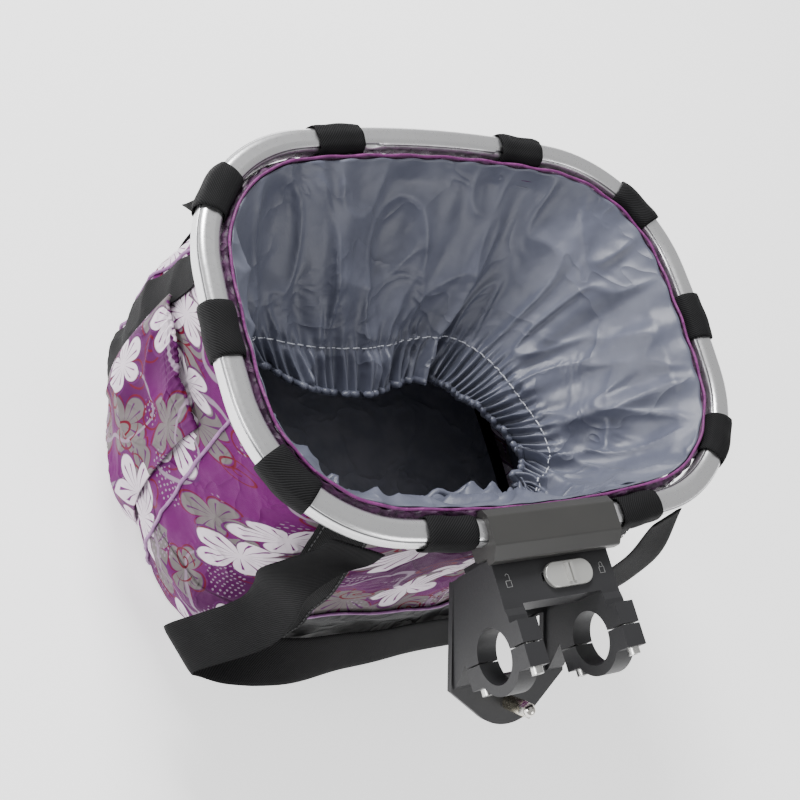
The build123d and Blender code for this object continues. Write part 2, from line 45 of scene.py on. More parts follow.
# user values, metres unless said
rimValues = {"level": 0.210, "halfLength": 0.1735, "halfDepth": 0.128, "sideRadius": 0.690,
             "endRadius": 0.690, "cornerRadius": 0.090, "tubeHalfWidth": 0.0075, "tubeHalfHeight": 0.007}
bagValues = {"cornerRadius": 0.078, "around": 400, "rows": 84, "thickness": 0.0012,
             "foldDepth": 0.0042, "creaseDepth": 0.0024, "bandTop": 0.082,
             "sections": [(0.003, 0.150, 0.119, -0.015), (0.014, 0.157, 0.126, -0.015),
                          (0.050, 0.173, 0.127, -0.012), (0.090, 0.178, 0.127, -0.008),
                          (0.130, 0.174, 0.125, -0.004), (0.170, 0.165, 0.118, -0.001),
                          (0.204, 0.158, 0.1125, 0.0)]}
skirtValues = {"around": 520, "rows": 86, "thickness": 0.0005, "topInset": 0.0148, "stitchRow": 0.80,
               "fold": 0.011, "frill": 0.0042}
webbingValues = {"width": 0.032, "thickness": 0.0016, "gap": 0.0004, "tail": 0.014}
handleValues = {"width": 0.032, "thickness": 0.0016, "steps": 260, "across": 14}
pocketValues = {"across": 150, "rows": 80, "clothShare": 0.93, "bottom": 0.020, "top": 0.150,
                "halfWidth": 0.044, "centre": 0.014, "bulge": 0.007, "thickness": 0.0014}
pipingValues = {"radius": 0.0011, "fineRadius": 0.0009, "footRadius": 0.0016, "lift": 0.0010}
footValues = {"halfLength": 0.1495, "halfDepth": 0.1185, "shift": -0.015, "around": 300, "rings": 24,
              "level": 0.0028, "sink": 0.0022, "waviness": 0.0004, "edgeHalfLength": 0.1515,
              "edgeHalfDepth": 0.1205, "edgeCorner": 0.079, "edgeLevel": 0.0046}
strapValues = {"fromMiddle": 0.114, "bottom": 0.006, "top": 0.192, "steps": 90, "lift": 0.0050,
               "thickness": 0.0015, "stitchEdge": 0.0135, "stitchLift": 0.0011}
bindingValues = {"around": 420, "rows": 19, "thickness": 0.0009, "inset": 0.0128, "pipeCorner": 0.0772,
                 "pipeLevel": 0.2140}
loopValues = {"sideOffset": 0.0685, "cornerTurn": 36, "bend": 0.0052, "steps": 130, "divisions": 14}
fullTurn = 6.2832
markValues = {"y": -0.1545, "half": 0.0018, "stroke": 0.00022, "level": 0.20662}
stitchValues = {"pitch": 0.0042, "length": 0.0027, "radius": 0.00032, "seed": 5}


# ---- curves and meshes ----
def cornerCentre(halfLength, halfDepth, corner):
    sideY, endX = halfDepth - rimValues["sideRadius"], halfLength - rimValues["endRadius"]
    fromSide, fromEnd = rimValues["sideRadius"] - corner, rimValues["endRadius"] - corner
    span = math.hypot(endX, sideY)
    along = (fromSide ** 2 - fromEnd ** 2 + span ** 2) / (2 * span)
    across = math.sqrt(fromSide ** 2 - along ** 2)
    ux, uy = endX / span, -sideY / span
    return ux * along + uy * across, sideY + uy * along - ux * across


def ovalPoints(halfLength, halfDepth, corner, fractions, shift=0.0):
    # eight tangent arcs, counterclockwise from the front middle
    cx, cy = cornerCentre(halfLength, halfDepth, corner)
    sideR, endR = rimValues["sideRadius"], rimValues["endRadius"]
    sideY, endX = halfDepth - sideR, halfLength - endR
    sideA, endA = math.atan2(cy - sideY, cx), math.atan2(cy, cx - endX)
    quarter = np.pi / 2
    arcs = [((0, -sideY), sideR, -quarter, -sideA), ((cx, -cy), corner, -sideA, -endA),
            ((endX, 0), endR, -endA, endA), ((cx, cy), corner, endA, sideA),
            ((0, sideY), sideR, sideA, 2 * quarter - sideA),
            ((-cx, cy), corner, 2 * quarter - sideA, 2 * quarter - endA),
            ((-endX, 0), endR, 2 * quarter - endA, 2 * quarter + endA),
            ((-cx, -cy), corner, 2 * quarter + endA, 2 * quarter + sideA),
            ((0, -sideY), sideR, 2 * quarter + sideA, 3 * quarter)]
    line = []
    for centre, radius, start, stop in arcs:
        a = np.linspace(start, stop, 60)
        line.append(np.stack([centre[0] + radius * np.cos(a), centre[1] + radius * np.sin(a)], 1)[:-1])
    line.append(line[0][:1])
    line = np.concatenate(line)
    length = np.concatenate([[0], np.cumsum(np.linalg.norm(np.diff(line, axis=0), axis=1))])
    at = np.asarray(fractions) % 1.0 * length[-1]
    return np.stack([np.interp(at, length, line[:, 0]), np.interp(at, length, line[:, 1]) + shift],
                    1), length[-1]


def smoothRead(table, at):
    # cubic through the rows of a table, first column rising
    table = np.array(table, float)
    x, y = table[:, 0], table[:, 1:]
    slope = np.gradient(y, x, axis=0)
    at = np.clip(at, x[0], x[-1])
    i = np.clip(np.searchsorted(x, at) - 1, 0, len(x) - 2)
    h = (x[i + 1] - x[i])[:, None]
    t = ((at - x[i])[:, None]) / h
    return ((2 * t ** 3 - 3 * t ** 2 + 1) * y[i] + (t ** 3 - 2 * t ** 2 + t) * h * slope[i]
            + (-2 * t ** 3 + 3 * t ** 2) * y[i + 1] + (t ** 3 - t ** 2) * h * slope[i + 1])


def noiseAt(points, scale, seed=0.0):
    flat = points.reshape(-1, 3) * np.array(scale) + seed
    return np.array([noise.noise(Vector(p)) for p in flat]).reshape(points.shape[:-1])


def ridgeAt(points, scale, seed=0.0):
    # sharp-crested creases, 0 to 1
    return (1 - np.abs(noiseAt(points, scale, seed))) ** 6


def gridNormals(p, closed):
    if closed:
        du = np.roll(p, -1, 0) - np.roll(p, 1, 0)
    else:
        du = np.gradient(p, axis=0)
    dv = np.gradient(p, axis=1)
    n = np.cross(du, dv)
    return n / np.maximum(np.linalg.norm(n, axis=2, keepdims=True), 1e-12)


def makeMesh(name, verts, faces, uvs=None, smooth=True):
    mesh = bpy.data.meshes.new(name)
    mesh.from_pydata([tuple(v) for v in verts], [], [tuple(f) for f in faces])
    if uvs is not None:
        layer = mesh.uv_layers.new(name="cloth")
        index = np.zeros(len(mesh.loops), np.int32)
        mesh.loops.foreach_get("vertex_index", index)
        layer.data.foreach_set("uv", np.asarray(uvs, np.float32)[index].ravel())
    mesh.polygons.foreach_set("use_smooth", [smooth] * len(mesh.polygons))
    mesh.update()
    obj = bpy.data.objects.new(name, mesh)
    bpy.context.scene.collection.objects.link(obj)
    return obj


def gridFaces(nu, nv, closed, offset=0, flip=False):
    i = np.arange(nu if closed else nu - 1)
    j = np.arange(nv - 1)
    a, b = np.meshgrid(i, j, indexing="ij")
    c = (a + 1) % nu
    quad = np.stack([a * nv + b, c * nv + b, c * nv + b + 1, a * nv + b + 1], -1).reshape(-1, 4) + offset
    return quad[:, ::-1] if flip else quad


def sheetMesh(name, p, uv, thickness, closed=True):
    # a grid of points thickened inwards to a closed skin; its normal points outwards
    nu, nv = p.shape[:2]
    n = gridNormals(p, closed)
    verts = np.concatenate([p.reshape(-1, 3), (p - n * thickness).reshape(-1, 3)])
    count = nu * nv
    faces = [gridFaces(nu, nv, closed), gridFaces(nu, nv, closed, count, True)]
    i = np.arange(nu if closed else nu - 1)
    k = (i + 1) % nu
    faces.append(np.stack([k * nv, i * nv, i * nv + count, k * nv + count], 1))
    top = nv - 1
    faces.append(np.stack([i * nv + top, k * nv + top, k * nv + top + count, i * nv + top + count], 1))
    if not closed:
        j = np.arange(nv - 1)
        faces.append(np.stack([j, j + 1, j + 1 + count, j + count], 1))
        last = (nu - 1) * nv
        faces.append(np.stack([last + j + 1, last + j, last + j + count, last + j + 1 + count], 1))
    return makeMesh(name, verts, np.concatenate(faces), np.concatenate([uv.reshape(-1, 2)] * 2))


def splineThrough(points, count):
    # Catmull-Rom through the points, evenly spaced
    p = np.array(points, float)
    p = np.vstack([2 * p[0] - p[1], p, 2 * p[-1] - p[-2]])
    out = []
    for k in range(1, len(p) - 2):
        t = np.linspace(0, 1, 40, endpoint=False)[:, None]
        out.append(0.5 * (2 * p[k] + (p[k + 1] - p[k - 1]) * t
                          + (2 * p[k - 1] - 5 * p[k] + 4 * p[k + 1] - p[k + 2]) * t ** 2
                          + (-p[k - 1] + 3 * p[k] - 3 * p[k + 1] + p[k + 2]) * t ** 3))
    out.append(p[-2:-1])
    line = np.concatenate(out)
    length = np.concatenate([[0], np.cumsum(np.linalg.norm(np.diff(line[:, :3], axis=0), axis=1))])
    at = np.linspace(0, length[-1], count)
    return np.stack([np.interp(at, length, line[:, c]) for c in range(line.shape[1])], 1), length[-1]


def webbing(name, centre, across, width, thickness, divisions=12):
    # strap with thinner selvedges along a centre line; across is its width direction
    across = across / np.linalg.norm(across, axis=1, keepdims=True)
    along = np.gradient(centre, axis=0)
    face = np.cross(along, across)
    face /= np.maximum(np.linalg.norm(face, axis=1, keepdims=True), 1e-12)
    run = np.concatenate([[0], np.cumsum(np.linalg.norm(np.diff(centre, axis=0), axis=1))])
    w = np.linspace(-0.5, 0.5, divisions + 1)
    half = thickness / 2 * np.where(np.abs(w) > 0.49, 0.35, np.where(np.abs(w) > 0.40, 0.8, 1.0))
    ring, ringUv = [], []
    for s, h in zip(w, half):
        ring.append(centre + across * s * width + face * h)
        ringUv.append(np.stack([run, np.full(len(run), s * width)], 1))
    for s, h in zip(w[::-1], half[::-1]):
        ring.append(centre + across * s * width - face * h)
        ringUv.append(np.stack([run, np.full(len(run), s * width)], 1))
    p, uv = np.stack(ring), np.stack(ringUv)
    nu, nv = p.shape[:2]
    faces = [tuple(f) for f in gridFaces(nu, nv, True)]
    faces += [tuple(np.arange(nu) * nv)[::-1], tuple(np.arange(nu) * nv + nv - 1)]
    return makeMesh(name, p.reshape(-1, 3), faces, uv.reshape(-1, 2))


def tubeMesh(name, line, radius, closed=False, sides=8):
    line = np.asarray(line, float)
    along = (np.roll(line, -1, 0) - np.roll(line, 1, 0)) if closed else np.gradient(line, axis=0)
    along /= np.linalg.norm(along, axis=1, keepdims=True)
    up = np.where(np.abs(along[:, 2:3]) > 0.8, [[1.0, 0, 0]], [[0, 0, 1.0]])
    side = np.cross(along, up)
    side /= np.linalg.norm(side, axis=1, keepdims=True)
    other = np.cross(side, along)
    a = np.linspace(0, 2 * np.pi, sides, endpoint=False)
    p = np.stack([line + radius * (math.cos(x) * side + math.sin(x) * other) for x in a])
    run = np.concatenate([[0], np.cumsum(np.linalg.norm(np.diff(line, axis=0), axis=1))])
    uv = np.stack([np.stack([run, np.full(len(run), x * radius)], 1) for x in a])
    nv = len(line)
    i = np.arange(sides)
    faces = [tuple(f) for f in gridFaces(sides, nv, True)]
    if closed:
        k = (i + 1) % sides
        faces += [tuple(f) for f in np.stack([i * nv + nv - 1, k * nv + nv - 1, k * nv, i * nv], 1)]
    else:
        faces += [tuple(i * nv)[::-1], tuple(i * nv + nv - 1)]
    return makeMesh(name, p.reshape(-1, 3), faces, uv.reshape(-1, 2))


# ---- stitches: a node group that runs short threads along a line ----
def stitchGroup():
    tree = bpy.data.node_groups.new("stitchRun", "GeometryNodeTree")
    face = tree.interface
    face.new_socket("line", in_out="INPUT", socket_type="NodeSocketGeometry")
    for label, value in (("pitch", 0.004), ("stitchLength", 0.0027), ("threadRadius", 0.0003)):
        face.new_socket(label, in_out="INPUT", socket_type="NodeSocketFloat").default_value = value
    face.new_socket("seed", in_out="INPUT", socket_type="NodeSocketInt").default_value = 1
    face.new_socket("thread", in_out="INPUT", socket_type="NodeSocketMaterial")
    face.new_socket("stitches", in_out="OUTPUT", socket_type="NodeSocketGeometry")
    new, link = tree.nodes.new, tree.links.new
    start, end = new("NodeGroupInput"), new("NodeGroupOutput")
    curve, resample = new("GeometryNodeMeshToCurve"), new("GeometryNodeResampleCurve")
    resample.mode = "LENGTH"
    thread = new("GeometryNodeMeshCylinder")
    thread.inputs["Vertices"].default_value = 8
    spread, jitter = new("FunctionNodeRandomValue"), new("FunctionNodeAlignRotationToVector")
    jitter.axis = "Z"
    tangent, place = new("GeometryNodeInputTangent"), new("GeometryNodeInstanceOnPoints")
    real, paint = new("GeometryNodeRealizeInstances"), new("GeometryNodeSetMaterial")
    spread.data_type = "FLOAT"
    spread.inputs[2].default_value, spread.inputs[3].default_value = 0.85, 1.12
    link(start.outputs["line"], curve.inputs["Mesh"])
    link(curve.outputs["Curve"], resample.inputs["Curve"])
    link(start.outputs["pitch"], resample.inputs["Length"])
    link(start.outputs["threadRadius"], thread.inputs["Radius"])
    link(start.outputs["stitchLength"], thread.inputs["Depth"])
    link(resample.outputs["Curve"], place.inputs["Points"])
    link(thread.outputs["Mesh"], place.inputs["Instance"])
    link(tangent.outputs["Tangent"], jitter.inputs["Vector"])
    link(jitter.outputs["Rotation"], place.inputs["Rotation"])
    link(start.outputs["seed"], spread.inputs["Seed"])
    link(spread.outputs[1], place.inputs["Scale"])
    link(place.outputs["Instances"], real.inputs["Geometry"])
    link(real.outputs["Geometry"], paint.inputs["Geometry"])
    link(start.outputs["thread"], paint.inputs["Material"])
    link(paint.outputs["Geometry"], end.inputs["stitches"])
    return tree


def runStitches(name, lines, thread, pitch=None, length=None, radius=None):
    verts, edges = [], []
    for line in lines:
        base = len(verts)
        verts += [tuple(p) for p in line]
        edges += [(base + k, base + k + 1) for k in range(len(line) - 1)]
    mesh = bpy.data.meshes.new(name + "Line")
    mesh.from_pydata(verts, edges, [])
    source = bpy.data.objects.new(name + "Line", mesh)
    bpy.context.scene.collection.objects.link(source)
    run = source.modifiers.new("stitches", "NODES")
    run.node_group = stitches
    values = {"pitch": pitch or stitchValues["pitch"], "stitchLength": length or stitchValues["length"],
              "threadRadius": radius or stitchValues["radius"], "seed": stitchValues["seed"],
              "thread": thread}
    for item in stitches.interface.items_tree:
        if item.in_out == "INPUT" and item.name in values:
            run[item.identifier] = values[item.name]
    done = bpy.data.meshes.new_from_object(source.evaluated_get(bpy.context.evaluated_depsgraph_get()))
    bpy.data.objects.remove(source)
    obj = bpy.data.objects.new(name, done)
    bpy.context.scene.collection.objects.link(obj)
    return obj


stitches = stitchGroup()


# ---- shader helpers ----
def node(tree, kind, inputs=None, **settings):
    made = tree.nodes.new(kind)
    for key, value in settings.items():
        setattr(made, key, value)
    for key, value in (inputs or {}).items():
        socket = made.inputs[key]
        if isinstance(value, bpy.types.NodeSocket):
            tree.links.new(value, socket)
        else:
            socket.default_value = value
    return made


def calc(tree, operation, a, b=None, c=None):
    inputs = {k: v for k, v in enumerate((a, b, c)) if v is not None}
    return node(tree, "ShaderNodeMath", inputs, operation=operation).outputs[0]


def times(tree, a, b):
    return calc(tree, "MULTIPLY", a, b)


def plus(tree, a, b):
    return calc(tree, "ADD", a, b)


def minus(tree, a, b):
    return calc(tree, "SUBTRACT", a, b)


def unsigned(tree, a):
    return calc(tree, "ABSOLUTE", a)


def blendColours(tree, share, first, second):
    made = node(tree, "ShaderNodeMix", {0: share}, data_type="RGBA")
    for socket, value in ((made.inputs[6], first), (made.inputs[7], second)):
        if isinstance(value, bpy.types.NodeSocket):
            tree.links.new(value, socket)
        else:
            socket.default_value = (*value, 1)
    return made.outputs[2]


def step(tree, value, low, high):
    return node(tree, "ShaderNodeMapRange", {0: value, 1: low, 2: high, 3: 0.0, 4: 1.0},
                interpolation_type="SMOOTHSTEP").outputs[0]


def group(name, inputs, outputs):
    tree = bpy.data.node_groups.new(name, "ShaderNodeTree")
    for label, kind, value in inputs:
        socket = tree.interface.new_socket(label, in_out="INPUT", socket_type="NodeSocket" + kind)
        if value is not None:
            socket.default_value = value
    for label, kind in outputs:
        tree.interface.new_socket(label, in_out="OUTPUT", socket_type="NodeSocket" + kind)
    start, end = tree.nodes.new("NodeGroupInput"), tree.nodes.new("NodeGroupOutput")
    return tree, start.outputs, end.inputs


def use(tree, name, **inputs):
    made = tree.nodes.new("ShaderNodeGroup")
    made.node_tree = bpy.data.node_groups[name]
    for key, value in inputs.items():
        if isinstance(value, bpy.types.NodeSocket):
            tree.links.new(value, made.inputs[key])
        else:
            made.inputs[key].default_value = value
    return made.outputs


def makeGroups():
    # twill: diagonal ribs crossed by a fine thread
    tree, given, out = group("twillWeave", [("place", "Vector", None), ("pitch", "Float", 0.0016)],
                             [("height", "Float"), ("mask", "Float")])
    part = node(tree, "ShaderNodeSeparateXYZ", {0: given["place"]}).outputs
    u, v = (calc(tree, "DIVIDE", part[k], given["pitch"]) for k in (0, 1))
    rib = calc(tree, "SINE", times(tree, plus(tree, u, v), fullTurn))
    thread = calc(tree, "SINE", times(tree, minus(tree, u, times(tree, v, 3.0)), fullTurn))
    height = plus(tree, times(tree, rib, 0.7), times(tree, thread, 0.3))
    tree.links.new(height, out["height"])
    tree.links.new(step(tree, height, -0.6, 0.9), out["mask"])

    # plain weave: crossed fine threads
    tree, given, out = group("plainWeave", [("place", "Vector", None), ("pitch", "Float", 0.0007)],
                             [("height", "Float")])
    part = node(tree, "ShaderNodeSeparateXYZ", {0: given["place"]}).outputs
    waves = [calc(tree, "SINE", times(tree, calc(tree, "DIVIDE", part[k], given["pitch"]),
                                      fullTurn)) for k in (0, 1)]
    tree.links.new(times(tree, waves[0], waves[1]), out["height"])

    # crumple: soft creases of light cloth
    tree, given, out = group("clothCrumple", [("place", "Vector", None), ("scale", "Float", 26.0)],
                             [("height", "Float"), ("shade", "Float")])
    soft = node(tree, "ShaderNodeTexNoise",
                {"Vector": given["place"], "Scale": given["scale"], "Detail": 3.0, "Distortion": 0.6})
    sharp = unsigned(tree, minus(tree, soft.outputs[0], 0.5))
    crease = calc(tree, "POWER", minus(tree, 1.0, times(tree, sharp, 2.0)), 9.0)
    fine = node(tree, "ShaderNodeTexNoise",
                {"Vector": given["place"], "Scale": times(tree, given["scale"], 3.2), "Detail": 2.0})
    total = plus(tree, times(tree, crease, 0.6), times(tree, fine.outputs[0], 0.55))
    tree.links.new(total, out["height"])
    tree.links.new(step(tree, fine.outputs[0], 0.35, 0.7), out["shade"])

    # surface variation: slow tone and gloss changes
    tree, given, out = group("surfaceVariation", [("place", "Vector", None), ("scale", "Float", 30.0)],
                             [("slow", "Float"), ("fine", "Float")])
    for label, factor, detail in (("slow", 1.0, 4.0), ("fine", 14.0, 2.0)):
        scale = times(tree, given["scale"], factor)
        tree.links.new(node(tree, "ShaderNodeTexNoise",
                            {"Vector": given["place"], "Scale": scale, "Detail": detail}).outputs[0],
                            out[label])

    # scattered flowers: round petals about random centres, with veins
    tree, given, out = group("flowerScatter",
                             [("place", "Vector", None), ("spacing", "Float", 0.05),
                              ("petals", "Float", 5.0),
                                               ("offset", "Float", 0.0), ("share", "Float", 0.6),
                                               ("reach", "Float", 0.46)],
                             [("mask", "Float"), ("veins", "Float"), ("curl", "Float"), ("edge", "Float")])
    scaled = node(tree, "ShaderNodeVectorMath",
                  {0: given["place"], 3: calc(tree, "DIVIDE", 1.0, given["spacing"])},
                  operation="SCALE").outputs[0]
    moved = node(tree, "ShaderNodeVectorMath", {0: scaled, 1: given["offset"]}, operation="ADD").outputs[0]
    cells = node(tree, "ShaderNodeTexVoronoi", {"Vector": moved, "Scale": 1.0, "Randomness": 0.72},
                 voronoi_dimensions="2D")
    local = node(tree, "ShaderNodeVectorMath", {0: moved, 1: cells.outputs["Position"]},
                 operation="SUBTRACT").outputs[0]
    part = node(tree, "ShaderNodeSeparateXYZ", {0: local}).outputs
    tint = node(tree, "ShaderNodeSeparateColor", {0: cells.outputs["Color"]}).outputs
    angle = plus(tree, calc(tree, "ARCTAN2", part[1], part[0]), times(tree, tint[0], fullTurn))
    radius = calc(tree, "SQRT", plus(tree, times(tree, part[0], part[0]), times(tree, part[1], part[1])))
    lobe = unsigned(tree, calc(tree, "SINE", times(tree, angle, times(tree, given["petals"], 0.5))))
    size = times(tree, given["reach"], plus(tree, 0.72, times(tree, tint[1], 0.4)))
    notch = times(tree, calc(tree, "SINE", times(tree, angle, 2.0)), 0.10)
    rim = times(tree, size, plus(tree, plus(tree, 0.20, notch),
                                 times(tree, calc(tree, "POWER", lobe, 0.45), 0.78)))
    shown = step(tree, minus(tree, given["share"], tint[2]), -0.01, 0.01)
    inside = step(tree, minus(tree, rim, radius), 0.0, 0.025)
    tree.links.new(times(tree, inside, shown), out["mask"])
    rays = unsigned(tree, calc(tree, "SINE", times(tree, angle, times(tree, given["petals"], 1.5))))
    swell = plus(tree, 0.05, times(tree, radius, 0.75))
    thin = step(tree, minus(tree, rays, swell), 0.06, -0.02)
    ranged = times(tree, step(tree, radius, 0.05, 0.08),
                   step(tree, minus(tree, times(tree, rim, 0.80), radius), 0.0, 0.03))
    tree.links.new(times(tree, times(tree, thin, ranged), shown), out["veins"])
    turn = calc(tree, "FRACT", plus(tree, calc(tree, "DIVIDE", angle, fullTurn), times(tree, radius, 4.6)))
    arm = step(tree, unsigned(tree, minus(tree, turn, 0.5)), 0.13, 0.08)
    tree.links.new(times(tree, times(tree, arm, step(tree, radius, 0.40, 0.36)), shown), out["curl"])
    tree.links.new(times(tree, step(tree, unsigned(tree, minus(tree, plus(tree, rim, 0.025), radius)), 0.02,
                                    0.01), shown), out["edge"])


makeGroups()


def newMaterial(name):
    mat = bpy.data.materials.new(name)
    mat.use_nodes = True
    tree = mat.node_tree
    tree.nodes.clear()
    shader = tree.nodes.new("ShaderNodeBsdfPrincipled")
    out = tree.nodes.new("ShaderNodeOutputMaterial")
    tree.links.new(shader.outputs[0], out.inputs[0])
    return mat, tree, shader


def coordinates(tree, kind):
    return node(tree, "ShaderNodeTexCoord").outputs[kind]


def raiseSurface(tree, shader, height, strength, distance, before=None):
    made = node(tree, "ShaderNodeBump", {"Height": height, "Strength": strength, "Distance": distance})
    if before is not None:
        tree.links.new(before, made.inputs["Normal"])
    tree.links.new(made.outputs[0], shader.inputs["Normal"])
    return made.outputs[0]


def webbingMaterial(name, colour, light, pitch=0.0017):
    mat, tree, shader = newMaterial(name)
    place = coordinates(tree, "UV")
    weave = use(tree, "twillWeave", place=place, pitch=pitch)
    vary = use(tree, "surfaceVariation", place=coordinates(tree, "Object"), scale=60.0)
    shade = times(tree, weave["mask"], plus(tree, 0.55, times(tree, vary["slow"], 0.7)))
    tree.links.new(blendColours(tree, shade, colour, light), shader.inputs["Base Color"])
    shader.inputs["Roughness"].default_value = 0.72
    shader.inputs["Specular IOR Level"].default_value = 0.14
    raiseSurface(tree, shader, weave["height"], 0.55, 0.0003)
    return mat


def printMaterial(name, values):
    mat, tree, shader = newMaterial(name)
    place = coordinates(tree, "UV")
    wander = node(tree, "ShaderNodeTexNoise", {"Vector": place, "Scale": 22.0, "Detail": 2.0})
    centred = node(tree, "ShaderNodeVectorMath", {0: wander.outputs[1], 1: (0.5, 0.5, 0.5)},
                   operation="SUBTRACT").outputs[0]
    bend = node(tree, "ShaderNodeVectorMath", {0: centred, 3: 0.009}, operation="SCALE").outputs[0]
    bent = node(tree, "ShaderNodeVectorMath", {0: place, 1: bend}, operation="ADD").outputs[0]
    slow = node(tree, "ShaderNodeTexNoise", {"Vector": place, "Scale": 9.0, "Detail": 1.0}).outputs[0]
    colour = blendColours(tree, step(tree, slow, 0.38, 0.62), values["ground"], values["deep"])
    leaf = use(tree, "flowerScatter", place=bent, spacing=0.046, petals=4.0, offset=3.3, share=0.70,
               reach=0.56)
    colour = blendColours(tree, leaf["mask"], colour, values["leaf"])
    colour = blendColours(tree, leaf["veins"], colour, values["leafVein"])
    colour = blendColours(tree, leaf["edge"], colour, values["curl"])
    vine = unsigned(tree, minus(tree, node(tree, "ShaderNodeTexNoise",
                                           {"Vector": bent, "Scale": 17.0, "Detail": 0.0}).outputs[0], 0.5))
    colour = blendColours(tree, step(tree, vine, 0.014, 0.008), colour, values["vine"])
    curl = use(tree, "flowerScatter", place=bent, spacing=0.030, petals=3.0, offset=11.7, share=0.75,
               reach=0.4)
    colour = blendColours(tree, curl["curl"], colour, values["curl"])
    dots = node(tree, "ShaderNodeTexVoronoi", {"Vector": place, "Scale": 290.0, "Randomness": 0.3},
                voronoi_dimensions="2D").outputs["Distance"]
    patch = step(tree, node(tree, "ShaderNodeTexNoise",
                            {"Vector": place, "Scale": 34.0, "Detail": 0.0}).outputs[0], 0.60, 0.63)
    colour = blendColours(tree, times(tree, step(tree, dots, 0.26, 0.20), patch), colour, values["vine"])
    flower = use(tree, "flowerScatter", place=bent, spacing=0.050, petals=5.0, offset=7.1, share=0.58,
                 reach=0.50)
    colour = blendColours(tree, flower["edge"], colour, values["shadow"])
    colour = blendColours(tree, flower["mask"], colour, values["petal"])
    colour = blendColours(tree, flower["veins"], colour, values["vein"])
    tree.links.new(colour, shader.inputs["Base Color"])
    crumple = use(tree, "clothCrumple", place=coordinates(tree, "Object"), scale=24.0)
    weave = use(tree, "plainWeave", place=place, pitch=0.0008)
    first = raiseSurface(tree, shader, crumple["height"], 0.55, 0.004)
    raiseSurface(tree, shader, weave["height"], 0.25, 0.0002, first)
    tree.links.new(plus(tree, 0.54, times(tree, crumple["shade"], 0.12)), shader.inputs["Roughness"])
    shader.inputs["Specular IOR Level"].default_value = 0.16
    return mat


def plainCloth(name, colour, light, rough, crumpleScale, crumpleHeight, sheen=0.1, gloss=0.5, slot="UV"):
    mat, tree, shader = newMaterial(name)
    crumple = use(tree, "clothCrumple", place=coordinates(tree, "Object"), scale=crumpleScale)
    weave = use(tree, "plainWeave", place=coordinates(tree, slot), pitch=0.0009)
    tree.links.new(blendColours(tree, crumple["shade"], colour, light), shader.inputs["Base Color"])
    first = raiseSurface(tree, shader, crumple["height"], 0.6, crumpleHeight)
    raiseSurface(tree, shader, weave["height"], 0.2, 0.0002, first)
    tree.links.new(plus(tree, rough, times(tree, crumple["shade"], 0.12)), shader.inputs["Roughness"])
    shader.inputs["Sheen Weight"].default_value = sheen
    shader.inputs["Specular IOR Level"].default_value = gloss
    return mat


def hardMaterial(name, colour, light, rough, metallic=0.0, grain=0.0, grainScale=900.0, stretch=(1, 1, 1),
                 coat=0.0):
    mat, tree, shader = newMaterial(name)
    place = node(tree, "ShaderNodeMapping",
                 {"Vector": coordinates(tree, "Object"), "Scale": stretch}).outputs[0]
    vary = use(tree, "surfaceVariation", place=place, scale=42.0)
    tree.links.new(blendColours(tree, vary["slow"], colour, light), shader.inputs["Base Color"])
    tree.links.new(plus(tree, rough, times(tree, minus(tree, vary["fine"], 0.5), 0.16)),
                   shader.inputs["Roughness"])
    shader.inputs["Metallic"].default_value = metallic
    shader.inputs["Coat Weight"].default_value = coat
    if grain:
        fine = node(tree, "ShaderNodeTexNoise", {"Vector": place, "Scale": grainScale, "Detail": 2.0})
        raiseSurface(tree, shader, fine.outputs[0], 0.5, grain)
    return mat


def tubeMaterial(name, colour, light):
    # satin tube with a fine extruded groove near its top edge; the groove is coloured dark grey as painted
    # shade
    mat, tree, shader = newMaterial(name)
    spot = coordinates(tree, "Object")
    vary = use(tree, "surfaceVariation", place=spot, scale=40.0)
    level = node(tree, "ShaderNodeSeparateXYZ", {0: spot}).outputs[2]
    off = unsigned(tree, minus(tree, level, 0.2149))
    grooveAndShade = step(tree, off, 0.0006, 0.0002)
    base = blendColours(tree, vary["slow"], colour, light)
    # painted shade: the groove band is coloured dark grey, standing in for the shade inside the groove
    tree.links.new(blendColours(tree, grooveAndShade, base, (0.22, 0.22, 0.23)), shader.inputs["Base Color"])
    tree.links.new(plus(tree, 0.24, times(tree, vary["fine"], 0.10)), shader.inputs["Roughness"])
    shader.inputs["Metallic"].default_value = 0.95
    raiseSurface(tree, shader, minus(tree, 1.0, grooveAndShade), 0.6, 0.0005)
    return mat


